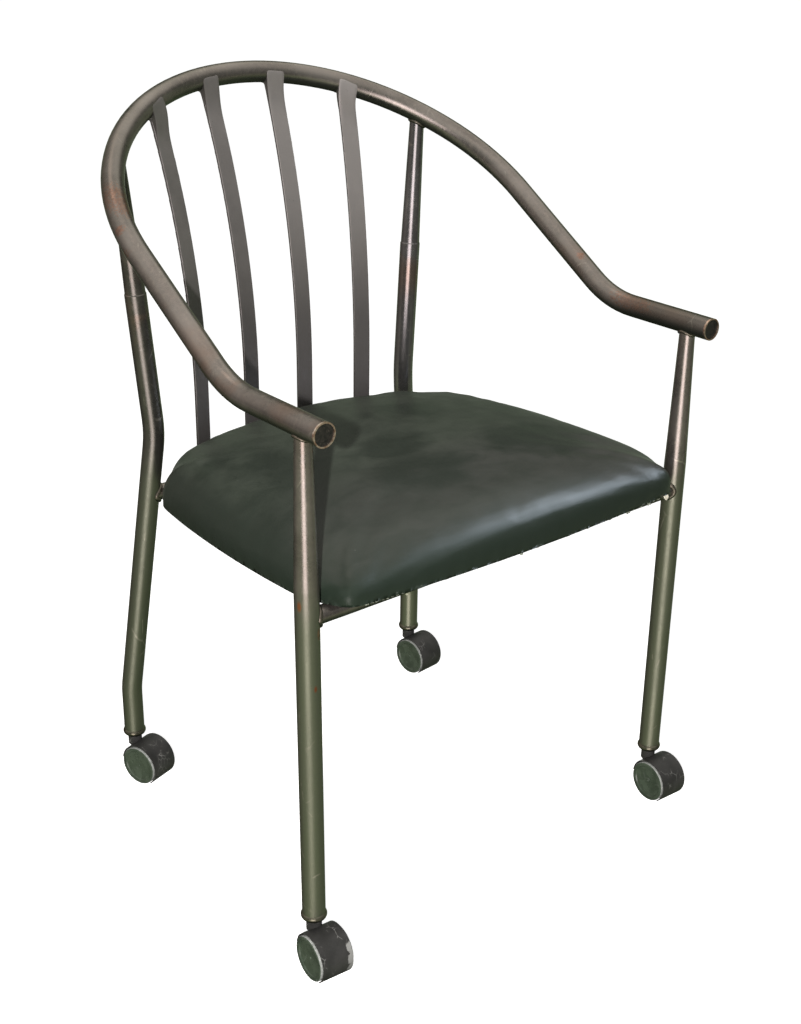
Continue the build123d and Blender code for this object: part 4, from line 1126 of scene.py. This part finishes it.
def by_height(stops, scale=None):
    """Radiance by the height of the direction (-1 straight down, 1 straight up), times a factor."""
    m = wnode("ShaderNodeMapRange")
    wt.links.new(split.outputs["Z"], m.inputs["Value"])
    m.inputs["From Min"].default_value = -1.0
    r = wnode("ShaderNodeValToRGB")
    wt.links.new(m.outputs["Result"], r.inputs["Fac"])
    while len(r.color_ramp.elements) < len(stops):
        r.color_ramp.elements.new(0.5)
    for e, (h, col) in zip(r.color_ramp.elements, stops):
        e.position = (h + 1) / 2
        e.color = (*(c / 2.5 for c in col), 1)
    n = wnode("ShaderNodeVectorMath", operation="SCALE")
    wt.links.new(r.outputs["Color"], n.inputs[0])
    n.inputs["Scale"].default_value = 2.5
    if scale is not None:
        f = wnode("ShaderNodeMath", operation="MULTIPLY")
        wt.links.new(scale, f.inputs[0])
        f.inputs[1].default_value = 2.5
        wt.links.new(f.outputs[0], n.inputs["Scale"])
    return n.outputs[0]


walls = by_height([(-1.0, (0.10, 0.13, 0.08)), (-0.75, (0.20, 0.25, 0.14)), (-0.56, (0.40, 0.48, 0.27)), (-0.38, (0.26, 0.28, 0.20)),
                   (-0.1, (0.08, 0.083, 0.076)), (0.3, (0.26, 0.27, 0.25)), (0.55, (0.34, 0.35, 0.32)), (0.8, (0.0, 0.0, 0.0))],
                  wrange(toward.outputs["Value"], -0.6, 0.9, 0.14, 1.35))
ceiling = by_height([(-1.0, (0.0, 0.0, 0.0)), (0.45, (0.0, 0.0, 0.0)), (0.65, (0.45, 0.445, 0.41)), (0.80, (0.88, 0.86, 0.80)), (1.0, (0.95, 0.91, 0.84))],
                    wrange(split.outputs["Y"], 0.35, 0.80, 1.0, 0.45))
lamp_side = by_height([(-0.82, (0.0, 0.0, 0.0)), (-0.60, (0.05, 0.05, 0.04)), (-0.50, (0.20, 0.19, 0.17)), (-0.41, (2.0, 1.75, 1.76)),
                       (-0.30, (2.4, 2.12, 2.14)), (-0.02, (2.4, 2.18, 2.18)), (0.08, (1.5, 1.36, 1.36)), (0.20, (0.30, 0.28, 0.27)), (0.75, (0.15, 0.14, 0.13))],
                      wrange(bearing.outputs["Value"], 0.93, 0.995, 0.0, 2.1))
overhead = wnode("ShaderNodeVectorMath", operation="DOT_PRODUCT")
wt.links.new(direction, overhead.inputs[0])
overhead.inputs[1].default_value = (-0.03, 0.45, 0.89)
lamp_over = by_height([(-1.0, (0.0, 0.0, 0.0)), (0.2, (0.0, 0.0, 0.0)), (0.5, (1.1, 0.92, 0.80)), (1.0, (1.1, 0.92, 0.80))],
                      wrange(overhead.outputs["Value"], 0.968, 0.994, 0.0, 1.0))
left_wall = wnode("ShaderNodeVectorMath", operation="DOT_PRODUCT")
wt.links.new(level_n.outputs[0], left_wall.inputs[0])
left_wall.inputs[1].default_value = (-0.68, 0.73, 0.0)
wall_left = by_height([(-1.0, (0.0, 0.0, 0.0)), (-0.45, (0.04, 0.035, 0.03)), (-0.1, (0.15, 0.13, 0.115)), (0.15, (0.31, 0.27, 0.24)), (0.55, (0.40, 0.355, 0.32)), (0.85, (0.0, 0.0, 0.0))],
                      wrange(left_wall.outputs["Value"], 0.50, 0.95, 0.0, 1.0))
rear_side = wnode("ShaderNodeVectorMath", operation="DOT_PRODUCT")
wt.links.new(direction, rear_side.inputs[0])
rear_side.inputs[1].default_value = (0.75, 0.66, 0.0)
rear_ceiling = by_height([(-1.0, (0.0, 0.0, 0.0)), (0.50, (0.0, 0.0, 0.0)), (0.68, (0.75, 0.75, 0.66)), (0.92, (0.75, 0.75, 0.66)), (1.0, (0.2, 0.2, 0.18))],
                         wrange(rear_side.outputs["Value"], 0.35, 0.80, 0.0, 1.0))
back_wall = wnode("ShaderNodeVectorMath", operation="DOT_PRODUCT")
wt.links.new(level_n.outputs[0], back_wall.inputs[0])
back_wall.inputs[1].default_value = (0.6, 0.8, 0.0)
wall_back = by_height([(-1.0, (0.0, 0.0, 0.0)), (-0.42, (0.0, 0.0, 0.0)), (-0.31, (0.42, 0.46, 0.38)), (-0.18, (0.42, 0.46, 0.38)), (-0.05, (0.22, 0.27, 0.19)), (0.14, (0.20, 0.25, 0.17)), (0.32, (0.05, 0.06, 0.045)), (0.42, (0.0, 0.0, 0.0))],
                      wrange(back_wall.outputs["Value"], 0.70, 0.95, 0.0, 1.0))
right_wall = wnode("ShaderNodeVectorMath", operation="DOT_PRODUCT")
wt.links.new(level_n.outputs[0], right_wall.inputs[0])
right_wall.inputs[1].default_value = (1.0, 0.05, 0.0)
wall_right = by_height([(-1.0, (0.0, 0.0, 0.0)), (-0.75, (0.10, 0.13, 0.08)), (-0.4, (0.22, 0.28, 0.17)), (0.2, (0.16, 0.20, 0.13)), (0.5, (0.0, 0.0, 0.0))],
                       wrange(right_wall.outputs["Value"], 0.72, 0.96, 0.0, 1.0))
sky = None
for part in (walls, ceiling, lamp_side, lamp_over, wall_left, rear_ceiling, wall_back, wall_right):
    if sky is None:
        sky = part
    else:
        both = wnode("ShaderNodeVectorMath", operation="ADD")
        wt.links.new(sky, both.inputs[0])
        wt.links.new(part, both.inputs[1])
        sky = both.outputs[0]
path = wnode("ShaderNodeLightPath")
soft = wnode("ShaderNodeMix", data_type="RGBA")
wt.links.new(path.outputs["Is Diffuse Ray"], soft.inputs["Factor"])
wt.links.new(sky, soft.inputs["A"])
soft.inputs["B"].default_value = (0.05, 0.055, 0.05, 1)
seen = wnode("ShaderNodeMix", data_type="RGBA")
wt.links.new(path.outputs["Is Camera Ray"], seen.inputs["Factor"])
wt.links.new(soft.outputs["Result"], seen.inputs["A"])
seen.inputs["B"].default_value = (1, 1, 1, 1)
wt.links.new(seen.outputs["Result"], bg.inputs["Color"])
bg.inputs["Strength"].default_value = 1.0


def area(name, loc, target, size, power, colour=(1, 1, 1)):
    d = bpy.data.lights.new(name, "AREA")
    d.shape = "DISK"
    d.size = size
    d.energy = power
    d.color = colour
    o = bpy.data.objects.new(name, d)
    bpy.context.scene.collection.objects.link(o)
    o.location = loc
    o.rotation_mode = "QUATERNION"
    o.rotation_quaternion = (Vector(target) - Vector(loc)).to_track_quat("-Z", "Y")
    return o


aim = (0.0, 0.0, 0.45)
key_dir = Vector((-0.62, -0.70, 0.36)).normalized()
key = area("key", Vector((-0.27, -0.26, 0.62)) + key_dir * 1.75, aim, 0.035, 135.0, (1.0, 0.965, 0.94))
key.visible_glossy = False
window = area("window", (1.136, -0.66, 1.46), (0.2, -0.22, 0.47), 0.80, 22.0, (0.78, 0.84, 1.0))
window.visible_diffuse = False
sheen_on = bpy.data.collections.new("window_on_seat")
sheen_on.objects.link(cushion)
window.light_linking.receiver_collection = sheen_on
for fill in (area("top", (-0.2, 0.2, 2.6), aim, 1.8, 1.0, (1.0, 0.99, 0.97)),
             area("side", (2.2, -0.4, 1.3), aim, 1.2, 1.5),
             area("rear", (-0.2, 2.4, 1.5), aim, 1.4, 2.0)):
    fill.visible_glossy = False

cam_data = bpy.data.cameras.new("camera")
cam_data.lens = 1494.6 / 1024 * 36.0
cam_data.sensor_width = 36.0
cam_data.clip_end = 60.0
cam = bpy.data.objects.new("camera", cam_data)
bpy.context.scene.collection.objects.link(cam)
bpy.context.scene.camera = cam
az, el, ro = math.radians(-40.0), math.radians(23.99), math.radians(0.949)
back = Vector((math.sin(az) * math.cos(el), -math.cos(az) * math.cos(el), math.sin(el)))
right = (-back).cross(Vector((0, 0, 1))).normalized()
up = right.cross(-back)
r_ = math.cos(ro) * right + math.sin(ro) * up
u_ = -math.sin(ro) * right + math.cos(ro) * up
place = Matrix((r_, u_, back)).transposed().to_4x4()
place.translation = Vector((-1.0289, -1.2752, 1.1077))
cam.matrix_world = place
bpy.context.scene.view_settings.view_transform = "Standard"
